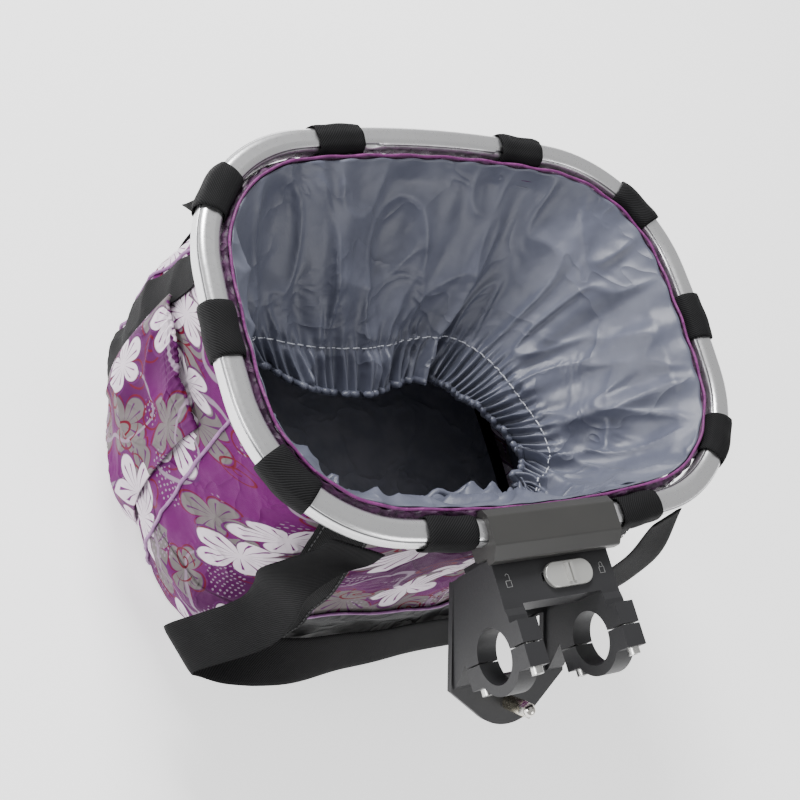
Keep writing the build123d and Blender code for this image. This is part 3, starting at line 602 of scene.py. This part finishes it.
looks = {
    "black_webbing": webbingMaterial("blackWebbing", (0.003, 0.003, 0.0035), (0.021, 0.021, 0.022)),
    "printed_cloth": printMaterial("printedCloth",
                                   {"ground": (0.120, 0.002, 0.105), "deep": (0.060, 0.001, 0.055),
                                    "leaf": (0.150, 0.130, 0.132),
                                                    "leafVein": (0.09, 0.012, 0.09),
                                                    "vine": (0.26, 0.19, 0.26),
                                                    "curl": (0.130, 0.001, 0.016),
                                                    "petal": (0.72, 0.63, 0.71),
                                                    "shadow": (0.10, 0.01, 0.10),
                                                    "vein": (0.13, 0.006, 0.12)}),
    "black_cloth": plainCloth("blackCloth", (0.003, 0.003, 0.004), (0.007, 0.007, 0.008), 0.55, 22.0, 0.004,
                              0.0, 0.3),
    "grey_lining": plainCloth("greyLining", (0.100, 0.108, 0.150), (0.125, 0.134, 0.180), 0.34, 14.0,
                              0.0035, 0.05, 0.6),
    "dark_board": plainCloth("darkBoard", (0.300, 0.310, 0.370), (0.380, 0.380, 0.440), 0.55, 18.0, 0.003,
                             slot="Object"),
    "purple_binding": plainCloth("purpleBinding", (0.030, 0.006, 0.030), (0.080, 0.014, 0.075), 0.5, 60.0,
                                 0.002),
    "saddle_plastic": hardMaterial("saddlePlastic", (0.036, 0.036, 0.035), (0.044, 0.043, 0.041), 0.38, 0.0,
                                   0.00003, 1400.0),
    "adapter_plastic": hardMaterial("adapterPlastic", (0.016, 0.016, 0.018), (0.022, 0.022, 0.024), 0.48,
                                    0.0, 0.00012, 1500.0),
    "satin_aluminium": tubeMaterial("satinAluminium", (0.74, 0.74, 0.75), (0.82, 0.82, 0.83)),
    "silver_slide": hardMaterial("silverSlide", (0.52, 0.52, 0.50), (0.60, 0.60, 0.58), 0.34, 0.6, 0.00002,
                                 1600.0),
    "zinc_steel": hardMaterial("zincSteel", (0.55, 0.55, 0.54), (0.68, 0.68, 0.66), 0.28, 1.0, 0.00001,
                               1500.0),
    "chrome_steel": hardMaterial("chromeSteel", (0.74, 0.71, 0.66), (0.82, 0.80, 0.75), 0.16, 1.0),
    "brass_spacer": hardMaterial("spacerMetal", (0.56, 0.52, 0.42), (0.66, 0.62, 0.50), 0.26, 1.0, 0.00001,
                                 1500.0),
}
pipingLook = plainCloth("lilacPiping", (0.24, 0.09, 0.26), (0.36, 0.17, 0.38), 0.45, 60.0, 0.001)
purplePiping = plainCloth("purplePiping", (0.13, 0.008, 0.11), (0.20, 0.025, 0.17), 0.45, 60.0, 0.001)
whiteThread = hardMaterial("whiteThread", (0.56, 0.58, 0.64), (0.66, 0.68, 0.74), 0.55)
darkThread = hardMaterial("darkThread", (0.012, 0.012, 0.013), (0.05, 0.05, 0.055), 0.5)
printMark = hardMaterial("markPaint", (0.20, 0.20, 0.20), (0.26, 0.26, 0.26), 0.5)
rows = {row["node"]: row["material_slot"] for row in frame["record"]["subparts"]}
for name, obj in nodes.items():
    obj.data.materials.clear()
    obj.data.materials.append(looks[rows[name]])


def place(obj, body, slotName, look=None, *stands):
    if look is None or not obj.data.materials:
        obj.data.materials.clear()
        obj.data.materials.append(look or looks[slotName])
    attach(obj, body)
    if stands:
        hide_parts(*stands)
    return obj


print("materials ready")


# ---- cloth bag ----
def bagSurface(inward=0.0, seed=0.0, low=0.003, high=0.204, rows=None, fold=1.0):
    v = bagValues
    rows = rows or v["rows"]
    heights = np.linspace(low, high, rows)
    shape = smoothRead(v["sections"], heights)
    s = np.arange(v["around"]) / v["around"]
    p, uv = np.zeros((v["around"], rows, 3)), np.zeros((v["around"], rows, 2))
    for k, (z, (hl, hd, shift)) in enumerate(zip(heights, shape)):
        xy, length = ovalPoints(hl - inward, hd - inward, v["cornerRadius"] - inward, s, shift)
        p[:, k, :2], p[:, k, 2] = xy, z
        uv[:, k, 0], uv[:, k, 1] = s * length, z
    n = gridNormals(p, True)
    t = ((heights - 0.003) / 0.201)[None, :]
    free = np.sin(np.pi * np.clip(t, 0, 1)) ** 0.6
    lowShare = np.exp(-((t - 0.22) / 0.18) ** 2)
    soft = noiseAt(p, (9, 9, 14), seed + 3.1) * 1.1 + noiseAt(p, (22, 22, 38), seed + 9.4) * 0.5
    crush = np.sin(t * 30 + 5 * noiseAt(p, (7, 7, 4), seed + 1.7)) * lowShare * 0.42
    hang = np.sin(s[:, None] * 2 * np.pi * 10 + 2.2 * noiseAt(p, (6, 6, 6), 5.5)) * np.clip(t - 0.72, 0,
            1) * 1.6
    crease = ridgeAt(p, (13, 13, 17), seed + 21.0) - 0.3 + 0.6 * ridgeAt(p, (30, 30, 34), seed + 31.0)
    out = v["foldDepth"] * fold * (soft + crush + hang) + v["creaseDepth"] * fold * crease
    p = p + n * ((out - 0.0012) * free)[..., None]
    return p, uv, s, heights


bagP, bagUv, bagS, bagH = bagSurface()
printRows = int(np.searchsorted(bagH, bagValues["bandTop"]))
shell = sheetMesh("bagShell", bagP[:, printRows - 2:], bagUv[:, printRows - 2:], bagValues["thickness"])
place(shell, "basket", "printed_cloth", None, "outer_shell")
# printed cloth under the band, seen at the left end, where the band stops
lower = sheetMesh("bagLowerEnd", bagP[:, :printRows], bagUv[:, :printRows], bagValues["thickness"])
place(lower, "basket", "printed_cloth", None)


def strip(name, s0, s1, z0, z1, lift, slotName, look=None, thickness=0.0009, *stands):
    # cloth laid on the bag between two fractions round it
    count, rowsCut = 260, 60
    grid = np.linspace(s0, s1, count)
    zs = np.linspace(z0, z1, rowsCut)
    padS = np.concatenate([bagS - 1, bagS, bagS + 1])
    cut = np.zeros((count, rowsCut, 3))
    uvCut = np.zeros((count, rowsCut, 2))
    normal = gridNormals(bagP, True)
    for c in range(3):
        both = (bagP + normal * lift)[..., c]
        both = np.concatenate([both, both, both])
        along = np.stack([np.interp(grid, padS, both[:, j]) for j in range(len(bagH))], 1)
        cut[..., c] = np.stack([np.interp(zs, bagH, along[i]) for i in range(count)])
    uvCut[..., 0], uvCut[..., 1] = grid[:, None] * 0.95, zs[None]
    return place(sheetMesh(name, cut, uvCut, thickness, closed=False), "basket", slotName, look,
                 *stands), cut


strip("bagLowerBand", -0.134, 0.62, 0.003, bagValues["bandTop"], 0.0018, "black_cloth", None, 0.0012,
      "lower_band")
strip("leftRearStrip", 0.668, 0.698, 0.010, 0.198, 0.0020, "black_webbing", None, 0.0012)
f = footValues
footS = np.arange(f["around"]) / f["around"]
footXy = ovalPoints(f["halfLength"], f["halfDepth"], bagValues["cornerRadius"], footS, f["shift"])[0]
ringShare = np.linspace(1, 0.02, f["rings"])
footP = np.zeros((f["around"], f["rings"], 3))
footP[..., 0] = footXy[:, :1] * ringShare
footP[..., 1] = (footXy[:, 1:] - f["shift"]) * ringShare + f["shift"]
footP[..., 2] = (f["level"] - f["sink"] * np.clip((1 - ringShare) * 6, 0, 1)
                 + f["waviness"] * noiseAt(footP, (30, 30, 30), 2.0))
foot = sheetMesh("bagFoot", footP, footP[..., :2].copy(), -0.0011)
place(foot, "basket", "black_cloth", None, "base_panel")

lineStart = int(np.searchsorted(bagH, 0.0085))
linePleat = ridgeAt(bagP, (15, 15, 12), 40.0) * 0.0022
lineP = (bagP - gridNormals(bagP, True) * (0.0024 + linePleat)[..., None])[:, lineStart:-2]
lineUv = bagUv[:, lineStart:-2]
liner = sheetMesh("bagLining", lineP, lineUv, 0.0006)
place(liner, "basket", "grey_lining", None, "lining")
print("bag built")


# ---- gathered skirt inside the mouth ----
def skirtSurface():
    v = skirtValues
    s = np.arange(v["around"]) / v["around"]
    topXy, topLength = ovalPoints(rimValues["halfLength"] - v["topInset"],
                                  rimValues["halfDepth"] - v["topInset"], 0.0735, s)
    # opening's edge: place in x, y, z by fraction round the rim from the front middle
    edge = [(0.00, 0.050, -0.088, 0.136), (0.08, 0.062, -0.070, 0.130), (0.15, 0.066, -0.052, 0.124),
            (0.20, 0.060, -0.034, 0.120),
            (0.25, 0.050, -0.020, 0.116), (0.32, 0.038, -0.004, 0.112), (0.40, 0.020, 0.010, 0.108),
            (0.47, -0.008, 0.004, 0.110),
            (0.54, -0.040, -0.001, 0.112), (0.61, -0.074, 0.004, 0.116), (0.68, -0.106, 0.018, 0.124),
            (0.75, -0.128, 0.002, 0.132),
            (0.82, -0.126, -0.040, 0.136), (0.90, -0.080, -0.084, 0.138), (1.00, 0.050, -0.088, 0.136)]
    table = np.array([(a - 1, b, c, d) for a, b, c, d in edge[:-1]] + edge
                     + [(a + 1, b, c, d) for a, b, c, d in edge[1:]])
    low = smoothRead(table, s)
    t = np.linspace(0, 1, v["rows"])[None, :, None]
    top = np.concatenate([topXy, (0.2132 + 0.0007 * np.sin(s * 2 * np.pi * 41))[:, None]], 1)[:, None, :]
    end = low[:, None, :]
    # cloth comes over the binding, then hangs and billows on its way to the edge
    middle = 0.5 * (top + end) + np.array([0, 0, -1.0]) * 0.012 + (top - end) * np.array([0.10, 0.10, 0])
    p = (1 - t) ** 2 * top + 2 * t * (1 - t) * middle + t ** 2 * end
    n = gridNormals(p, True)
    share = t[..., 0]
    angle = s[:, None] * 2 * np.pi
    wander = noiseAt(p, (5, 5, 5), 2.0)
    big = np.sin(9 * angle + 4 * wander + 2.6 * share) + 0.6 * np.sin(17 * angle + 5 * wander - 3 * share)
    mid = np.sin(31 * angle + 7 * noiseAt(p, (8, 8, 8), 7.0))
    folds = v["fold"] * (0.45 * big * share ** 0.8 * (1.15 - share) * 1.6 + 0.16 * mid * share ** 1.6)
    full = np.ones(p.shape[:2])
    flow = np.stack([1.25 * np.cos(angle) * full, 1.25 * np.sin(angle) * full, 0.9 * share * full], -1)
    creases = (ridgeAt(flow + 0.5 * wander[..., None], (1.3, 1.3, 1), 4.0)
               - 0.25) * 0.0110 + (ridgeAt(flow, (3.4, 3.4, 2), 8.0) - 0.25) * 0.0045
    soft = noiseAt(p, (7, 7, 8), 12.0) * 0.012 + noiseAt(p, (15, 15, 17), 15.0) * 0.0025
    frill = v["frill"] * np.sin(s[:, None] * 2 * np.pi * 74 + 3
                                * noiseAt(p, (20, 20, 20), 3.0)) * np.clip((share - 0.70) / 0.3, 0, 1)
    held = np.clip(share / 0.10, 0, 1) * (1 - 0.55 * np.exp(-((share - v["stitchRow"]) / 0.03) ** 2))
    p = p + n * ((folds + creases + soft) * held + frill)[..., None]
    uv = np.stack([np.broadcast_to(s[:, None] * topLength, p.shape[:2]),
                   np.broadcast_to(share * 0.15, p.shape[:2])], -1)
    return p, uv


skirtP, skirtUv = skirtSurface()
skirt = sheetMesh("drawstringSkirt", skirtP, skirtUv, skirtValues["thickness"])
place(skirt, "basket", "grey_lining", None, "drawstring_skirt")
hemLine = skirtP[:, -2]
hemLine = (hemLine + np.roll(hemLine, 1, 0) + np.roll(hemLine, -1, 0)) / 3
hem = place(tubeMesh("skirtHem", hemLine, 0.0022, True, 10), "basket", "grey_lining", None, "skirt_hem")
stitchAt = int(skirtValues["stitchRow"] * (skirtValues["rows"] - 1))
rowNormals = gridNormals(skirtP, True)[:, stitchAt]
rowLine = skirtP[:, stitchAt] + rowNormals * 0.0004
insideLine = rowLine - rowNormals * 0.0013
skirtStitches = runStitches("skirtStitches",
                            [np.vstack([rowLine, rowLine[:1]]), np.vstack([insideLine, insideLine[:1]])],
                            whiteThread, 0.0046, 0.0031, 0.00038)
place(skirtStitches, "basket", "grey_lining", whiteThread)

# ---- binding and piping at the mouth ----
b = bindingValues
bindS = np.arange(b["around"]) / b["around"]
profileIn = np.array([(-0.0095, 0.1985), (-0.0088, 0.2045), (-0.0096, 0.2100), (-0.0112, 0.2120),
                      (-0.0130, 0.2116), (-0.0138, 0.2080), (-0.0134, 0.2030)])
bindP, bindUv = np.zeros((b["around"], b["rows"], 3)), np.zeros((b["around"], b["rows"], 2))
ringLine, ringLength = splineThrough(np.column_stack([profileIn, np.zeros(len(profileIn))]), b["rows"])
for k in range(b["rows"]):
    grow = ringLine[k, 0]
    xy, length = ovalPoints(rimValues["halfLength"] + grow, rimValues["halfDepth"] + grow,
                            rimValues["cornerRadius"] + grow, bindS)
    bindP[:, k, :2], bindP[:, k, 2] = xy, ringLine[k, 1]
    bindUv[:, k, 0], bindUv[:, k, 1] = bindS * length, k * ringLength / (b["rows"] - 1)
pucker = np.sin(bindS * 2 * np.pi * 96 + 5 * noiseAt(bindP[:, 9], (14, 14, 14), 4.0))[:,
        None] * 0.0006 + noiseAt(bindP, (60, 60, 60), 6.0) * 0.0011
bindP += gridNormals(bindP, True) * (pucker * np.sin(np.linspace(0, np.pi, b["rows"]))[None])[..., None]
place(sheetMesh("mouthBinding", bindP, bindUv, b["thickness"]), "basket", "purple_binding", None,
      "mouth_binding")
pipeXy = ovalPoints(rimValues["halfLength"] - b["inset"], rimValues["halfDepth"] - b["inset"],
                    b["pipeCorner"], bindS)[0]
pipeLine = np.column_stack([pipeXy, b["pipeLevel"] + 0.0006 * np.sin(bindS * 2 * np.pi * 33)])
place(tubeMesh("mouthPiping", pipeLine, pipingValues["fineRadius"], True, 10), "basket", "purple_binding",
      purplePiping)


# ---- webbing loops round the rim tube ----
def rimStation(kind, sx, sy):
    cx, cy = cornerCentre(rimValues["halfLength"], rimValues["halfDepth"], rimValues["cornerRadius"])
    if kind == "end":
        return (sx * (rimValues["halfLength"] - rimValues["endRadius"]),
                0.0), rimValues["endRadius"], 0.0 if sx > 0 else math.pi
    if kind == "corner":
        turn = math.radians(loopValues["cornerTurn"])
        return (sx * cx, sy * cy), rimValues["cornerRadius"], math.atan2(sy * math.sin(turn),
                sx * math.cos(turn))
    turn = math.asin(loopValues["sideOffset"] / rimValues["sideRadius"])
    return (0.0, sy * (rimValues["halfDepth"]
                       - rimValues["sideRadius"])), rimValues["sideRadius"], math.atan2(sy * math.cos(turn),
                               sx * math.sin(turn))


def loopPath(seed):
    # once round the tube and down inside, in place across and level
    v, r = webbingValues, rimValues
    g = v["gap"] + v["thickness"] / 2
    w, h, k = r["tubeHalfWidth"] + g, r["tubeHalfHeight"] + g, loopValues["bend"]
    slack = 0.0004 + 0.0005 * abs(math.sin(seed * 3.7))
    points = [(-w - 0.0004, -h - v["tail"]), (-w - 0.0004, -h - 0.004), (-w, -h + k), (-w - slack, 0.0),
              (-w, h - k), (-w + k * 0.3, h - k * 0.3), (-w + k, h),
              (0, h + slack), (w - k, h), (w - k * 0.3, h - k * 0.3), (w, h - k), (w + slack, 0),
              (w, -h + k), (w - k * 0.3, -h + k * 0.3), (w - k, -h),
              (0, -h - slack), (-w + k * 0.8, -h - 0.0006), (-w + 0.0021, -h - 0.004),
              (-w + 0.0018, -h - v["tail"])]
    return splineThrough(np.column_stack([np.array(points), np.zeros(len(points))]),
                         loopValues["steps"])[0][:, :2]


for sx, side in ((-1, "left"), (1, "right")):
    for kind, sy, label in (("side", -1, "front_inner"), ("corner", -1, "front_corner"), ("end", 0, "end"),
                            ("corner", 1, "rear_corner"), ("side", 1, "rear_inner")):
        centre, radius, angle = rimStation(kind, sx, sy)
        seed = sx * 1.3 + sy * 2.1 + len(label)
        path = loopPath(seed)
        w = np.linspace(-0.5, 0.5, loopValues["divisions"] + 1)
        skew = 0.0009 * math.sin(seed * 5)
        along = np.gradient(path, axis=0)
        outward = np.stack([along[:, 1], -along[:, 0]], 1)
        outward /= np.linalg.norm(outward, axis=1, keepdims=True)
        run = np.concatenate([[0], np.cumsum(np.linalg.norm(np.diff(path, axis=0), axis=1))])
        rings, ringUvs = [], []
        thick = webbingValues["thickness"] / 2 * np.where(np.abs(w) > 0.49, 0.3,
                                                          np.where(np.abs(w) > 0.42, 0.75, 1.0))
        for face, order in ((1, w), (-1, w[::-1])):
            for q, h in zip(order, thick if face > 0 else thick[::-1]):
                a = angle + (q * webbingValues["width"] + skew * np.sin(run * 60)) / radius
                lift = h * face + 0.0003 * np.sin(q * 9 + seed + run * 90)
                reach = radius + path[:, 0] - outward[:, 0] * lift
                level = rimValues["level"] + path[:, 1] - outward[:, 1] * lift
                rings.append(np.stack([centre[0] + reach * np.cos(a), centre[1] + reach * np.sin(a), level],
                                      1))
                ringUvs.append(np.stack([run, np.full(len(run), q * webbingValues["width"])], 1))
        p, uv = np.stack(rings), np.stack(ringUvs)
        nu, nv = p.shape[:2]
        faces = [tuple(f) for f in gridFaces(nu, nv, True, flip=True)] + [tuple(np.arange(nu) * nv),
                tuple(np.arange(nu) * nv + nv - 1)[::-1]]
        loop = makeMesh("loop_" + label + "_" + side, p.reshape(-1, 3), faces, uv.reshape(-1, 2))
        place(loop, "basket", "black_webbing", None, "webbing_loop_" + label + "_" + side)
print("loops built")


# ---- sewn straps and carry handles ----
def bagAt(x, z, face):
    # point on the bag's front or rear for an x, from the built surface
    j = int(np.clip(np.searchsorted(bagH, z), 0, len(bagH) - 1))
    ring = bagP[:, j]
    chosen = ring[ring[:, 1] * face > 0.02]
    return chosen[np.argmin(np.abs(chosen[:, 0] - x))]


for face, label in ((-1, "front"), (1, "rear")):
    for sx, side in ((-1, "left"), (1, "right")):
        v = strapValues
        x = sx * v["fromMiddle"]
        zs = np.linspace(v["bottom"], v["top"], v["steps"])
        centre = np.array([bagAt(x, z, face) for z in zs])
        smooth = np.ones(9) / 9
        centre[:, 1] = np.convolve(np.pad(centre[:, 1], 4, mode="edge"), smooth, "valid") + face * v["lift"]
        centre[:, 0], centre[:, 2] = x, zs
        turn = np.array([1.0, -face * sx * 0.36, 0])
        across = np.tile(turn / np.linalg.norm(turn), (v["steps"], 1)) * face * -1
        strap = webbing("sewnStrap_" + label + "_" + side, centre, across, webbingValues["width"],
                        v["thickness"])
        place(strap, "basket", "black_webbing", None, "sewn_strap_" + label + "_" + side)
        edges = [centre + across * e * v["stitchEdge"]
                 + np.array([0, face * v["stitchLift"], 0]) for e in (-1, 1)]
        place(runStitches("strapStitches_" + label + "_" + side, edges, darkThread), "basket",
              "black_webbing", darkThread)

# front handle, limp: x, y, z of its middle, then its width direction
frontPath = [(-0.114, -0.1215, 0.194, 0.92, -0.39, 0.0), (-0.120, -0.1240, 0.184, 0.9, -0.42, 0.15),
             (-0.133, -0.1240, 0.173, 0.75, -0.5, 0.45),
             (-0.144, -0.1260, 0.158, 0.55, -0.7, 0.45), (-0.143, -0.1320, 0.138, 0.45, -0.85, 0.2),
             (-0.146, -0.1360, 0.116, 0.36, -0.93, 0.0),
             (-0.160, -0.1360, 0.092, 0.34, -0.94, 0.0), (-0.171, -0.1350, 0.075, 0.34, -0.94, 0.0),
             (-0.1725, -0.1350, 0.067, 0.34, -0.94, 0.0),
             (-0.165, -0.1360, 0.0605, 0.30, -0.95, 0.05), (-0.142, -0.1430, 0.058, 0.15, -0.95, -0.2),
             (-0.100, -0.1500, 0.054, 0.05, -0.75, -0.65),
             (-0.050, -0.1500, 0.050, 0.02, -0.5, -0.85), (0.000, -0.1490, 0.048, 0.0, -0.4, -0.9),
             (0.050, -0.1490, 0.050, 0.0, -0.35, -0.95),
             (0.092, -0.1490, 0.062, -0.5, -0.2, -0.8), (0.108, -0.1480, 0.088, -0.96, 0.0, -0.3),
             (0.111, -0.1470, 0.125, -0.98, 0.1, 0.1),
             (0.112, -0.1410, 0.162, -0.98, 0.0, 0.1), (0.112, -0.1270, 0.192, -0.95, -0.3, 0)]
rearPath = [(0.106, 0.1215, 0.188, 0.95, -0.3, 0), (0.107, 0.1270, 0.165, 0.96, -0.28, 0),
            (0.108, 0.1340, 0.140, 0.97, -0.25, 0), (0.108, 0.1410, 0.112, 1, -0.2, 0),
            (0.106, 0.1450, 0.086, 0.8, 0, 0.6), (0.080, 0.1470, 0.068, 0.35, 0, 0.95),
            (0.030, 0.1480, 0.062, 0, 0.15, 1), (-0.030, 0.1480, 0.061, 0, 0.15, 1),
            (-0.080, 0.1470, 0.068, -0.35, 0, 0.95), (-0.102, 0.1450, 0.086, -0.8, 0, 0.6),
            (-0.107, 0.1410, 0.112, -1, -0.2, 0),
            (-0.106, 0.1335, 0.140, -0.97, -0.25, 0), (-0.104, 0.1265, 0.165, -0.96, -0.28, 0),
            (-0.102, 0.1205, 0.186, -0.95, -0.3, 0)]
for label, path, body in (("front", frontPath, "handle_front"), ("rear", rearPath, "handle_rear")):
    table = splineThrough(path, handleValues["steps"])[0]
    centre, across = table[:, :3], table[:, 3:]
    centre = centre + 0.0012 * np.stack([noiseAt(centre, (25, 25, 25), k * 7.0) for k in range(3)], 1)
    handle = webbing("carryHandle_" + label, centre, across, handleValues["width"],
                     handleValues["thickness"], handleValues["across"])
    place(handle, body, "black_webbing", None, "carry_handle_" + label)
print("straps built")

# ---- seams: piping down the corners and along the top of the band ----
def seamLine(points, lift):
    # fraction round the bag and height to a line on its surface
    fine = splineThrough([(a, z, 0) for a, z in points], 90)[0]
    normal = gridNormals(bagP, True)
    out = []
    for a, z in fine[:, :2]:
        u = (a % 1.0) * bagValues["around"]
        i, j = int(u) % bagValues["around"], int(np.clip(np.searchsorted(bagH, z) - 1, 0, len(bagH) - 2))
        fu, fj = u - int(u), np.clip((z - bagH[j]) / (bagH[j + 1] - bagH[j]), 0, 1)
        k = (i + 1) % bagValues["around"]
        here = (1 - fu) * ((1 - fj) * bagP[i, j] + fj * bagP[i, j + 1]) + fu * ((1 - fj) * bagP[k, j] + fj
                * bagP[k, j + 1])
        out.append(here + normal[i, j] * lift)
    return np.array(out)


for label, points in (("leftFront", [(-0.196, 0.010), (-0.200, 0.077), (-0.215, 0.196)]),
                      ("leftRear", [(0.662, 0.010), (0.662, 0.1), (0.662, 0.196)]),
                      ("rightFront", [(0.196, 0.085), (0.203, 0.14), (0.215, 0.196)]),
                      ("rightRear", [(0.345, 0.085), (0.345, 0.14), (0.345, 0.196)])):
    place(tubeMesh("seam_" + label, seamLine(points, pipingValues["lift"]), pipingValues["radius"]),
          "basket", "purple_binding", pipingLook)
bandEdge = seamLine([(-0.132, 0.083), (0.0, 0.083), (0.2, 0.083), (0.4, 0.083), (0.615, 0.083)], 0.0022)
place(tubeMesh("bandPiping", bandEdge, pipingValues["fineRadius"]), "basket", "purple_binding", pipingLook)
f = footValues
footEdgeXy = ovalPoints(f["edgeHalfLength"], f["edgeHalfDepth"], f["edgeCorner"], footS, f["shift"])[0]
footEdge = np.column_stack([footEdgeXy, np.full(f["around"], f["edgeLevel"])])
place(tubeMesh("footPiping", footEdge, pipingValues["footRadius"], True), "basket", "black_cloth")

# ---- end pockets ----
for sx, side in ((-1, "left"), (1, "right")):
    v = pocketValues
    a, zs = np.linspace(-1, 1, v["across"]), np.linspace(v["bottom"], v["top"], v["rows"])
    p, uv = np.zeros((v["across"], v["rows"], 3)), np.zeros((v["across"], v["rows"], 2))
    for j, z in enumerate(zs):
        shape = smoothRead(bagValues["sections"], np.array([z]))[0]
        t = (z - v["bottom"]) / (v["top"] - v["bottom"])
        bulge = v["bulge"] * (0.35 + 0.65 * math.sin(math.pi * min(1, t * 1.15) ** 0.8)) * (1 - 0.35
                * max(0, t - 0.85) / 0.15)
        y = a * v["halfWidth"] * (0.97 + 0.03 * math.sin(6 * t)) + shape[2] + v["centre"]
        base = ovalPoints(shape[0], shape[1], bagValues["cornerRadius"], np.linspace(0.12, 0.38, 400),
                          shape[2])[0]
        x = np.interp(y, base[:, 1], base[:, 0]) + bulge * (1 - np.abs(a) ** 2.6) + 0.0016
        p[:, j] = np.stack([sx * x, y, np.full(v["across"], z)], 1)
        uv[:, j] = np.stack([a * v["halfWidth"], np.full(v["across"], z)], 1)
    if sx < 0:
        p, uv = p[::-1], uv[::-1]
    gather = 0.0006 * np.sin(a * 60)[:, None] * np.clip((zs - 0.132) / 0.018, 0, 1)[None]
    puff = noiseAt(p, (18, 18, 22), 14.0) * 0.006 + (ridgeAt(p, (26, 26, 24), 3.0) - 0.3) * 0.004
    p += gridNormals(p, False) * ((puff + gather) * (1 - np.abs(a) ** 6)[:, None])[..., None]
    cut = int(v["clothShare"] * v["rows"])
    place(sheetMesh("endPocket_" + side, p[:, :cut], uv[:, :cut], v["thickness"], closed=False), "basket",
          "printed_cloth", None, "end_pocket_" + side)
    place(sheetMesh("pocketElastic_" + side, p[:, cut - 1:], uv[:, cut - 1:], v["thickness"] + 0.0008,
                    closed=False), "basket", "printed_cloth", None, "pocket_elastic_" + side)
print("pockets built")

# ---- small padlock marks on the adapter's panel ----
for x, lifted, label in ((-0.034, 0.0012, "open"), (0.034, 0.0, "closed")):
    v = markValues
    arc = np.linspace(0, np.pi, 9)
    hoop = [(x + v["half"] * 0.65 * math.cos(t),
             v["y"] + v["half"] * 0.9 + lifted + v["half"] * 0.65 * math.sin(t)) for t in arc]
    hoop = [(x + v["half"] * 0.65, v["y"])] + hoop + ([] if lifted else [(x - v["half"] * 0.65, v["y"])])
    case = [(x - v["half"], v["y"]), (x - v["half"], v["y"] - 2 * v["half"]),
            (x + v["half"], v["y"] - 2 * v["half"]), (x + v["half"], v["y"]), (x - v["half"], v["y"])]
    for kind, outline in (("hoop", hoop), ("case", case)):
        line = np.column_stack([np.array(outline), np.full(len(outline), v["level"])])
        place(tubeMesh("mark_" + label + "_" + kind, line, v["stroke"]), "adapter", "adapter_plastic",
              printMark)

# ---- camera, light and floor ----
right, up, back = Vector((0.834, -0.259, 0.488)), Vector((0.050, 0.915, 0.400)), Vector((-0.550, -0.309,
        0.776))
turn = Matrix((right, up, back)).transposed()
camera = bpy.data.objects.new("camera", bpy.data.cameras.new("camera"))
bpy.context.scene.collection.objects.link(camera)
camera.data.lens, camera.data.sensor_width = 61.86, 36.0
camera.data.clip_start, camera.data.clip_end = 0.05, 20
camera.data.dof.use_dof = False
camera.matrix_world = Matrix.Translation((-0.4966, -0.2823, 0.8068)) @ turn.to_4x4()
bpy.context.scene.camera = camera

floor = makeMesh("floor", [(-6, -6, 0), (6, -6, 0), (6, 6, 0), (-6, 6, 0)], [(0, 1, 2, 3)], smooth=False)
floorLook, floorTree, floorShader = newMaterial("paperFloor")
floorVary = use(floorTree, "surfaceVariation", place=coordinates(floorTree, "Object"), scale=3.0)
floorTree.links.new(blendColours(floorTree, floorVary["slow"], (0.90, 0.90, 0.90), (0.94, 0.94, 0.94)),
                    floorShader.inputs["Base Color"])
floorShader.inputs["Roughness"].default_value = 0.9
floorShader.inputs["Emission Color"].default_value = (1, 1, 1, 1)
floorShader.inputs["Emission Strength"].default_value = 1.0
floor.data.materials.append(floorLook)

world = bpy.data.worlds.new("studio")
bpy.context.scene.world = world
world.use_nodes = True
world.node_tree.nodes["Background"].inputs[0].default_value = (1, 1, 1, 1)
world.node_tree.nodes["Background"].inputs[1].default_value = 0.50


def areaLight(name, at, aim, size, power):
    lamp = bpy.data.objects.new(name, bpy.data.lights.new(name, "AREA"))
    lamp.data.shape, lamp.data.size, lamp.data.energy = "SQUARE", size, power
    lamp.location = at
    lamp.rotation_mode = "QUATERNION"
    lamp.rotation_quaternion = (Vector(aim) - Vector(at)).to_track_quat("-Z", "Y")
    bpy.context.scene.collection.objects.link(lamp)


areaLight("keyLight", (-0.3, 1.5, 1.5), (0, 0, 0.15), 0.7, 62)
areaLight("leftLight", (-1.8, 0.1, 0.8), (-0.1, 0, 0.1), 0.8, 20)
areaLight("frontLight", (0.6, -1.7, 1.2), (0, -0.1, 0.15), 1.0, 14)
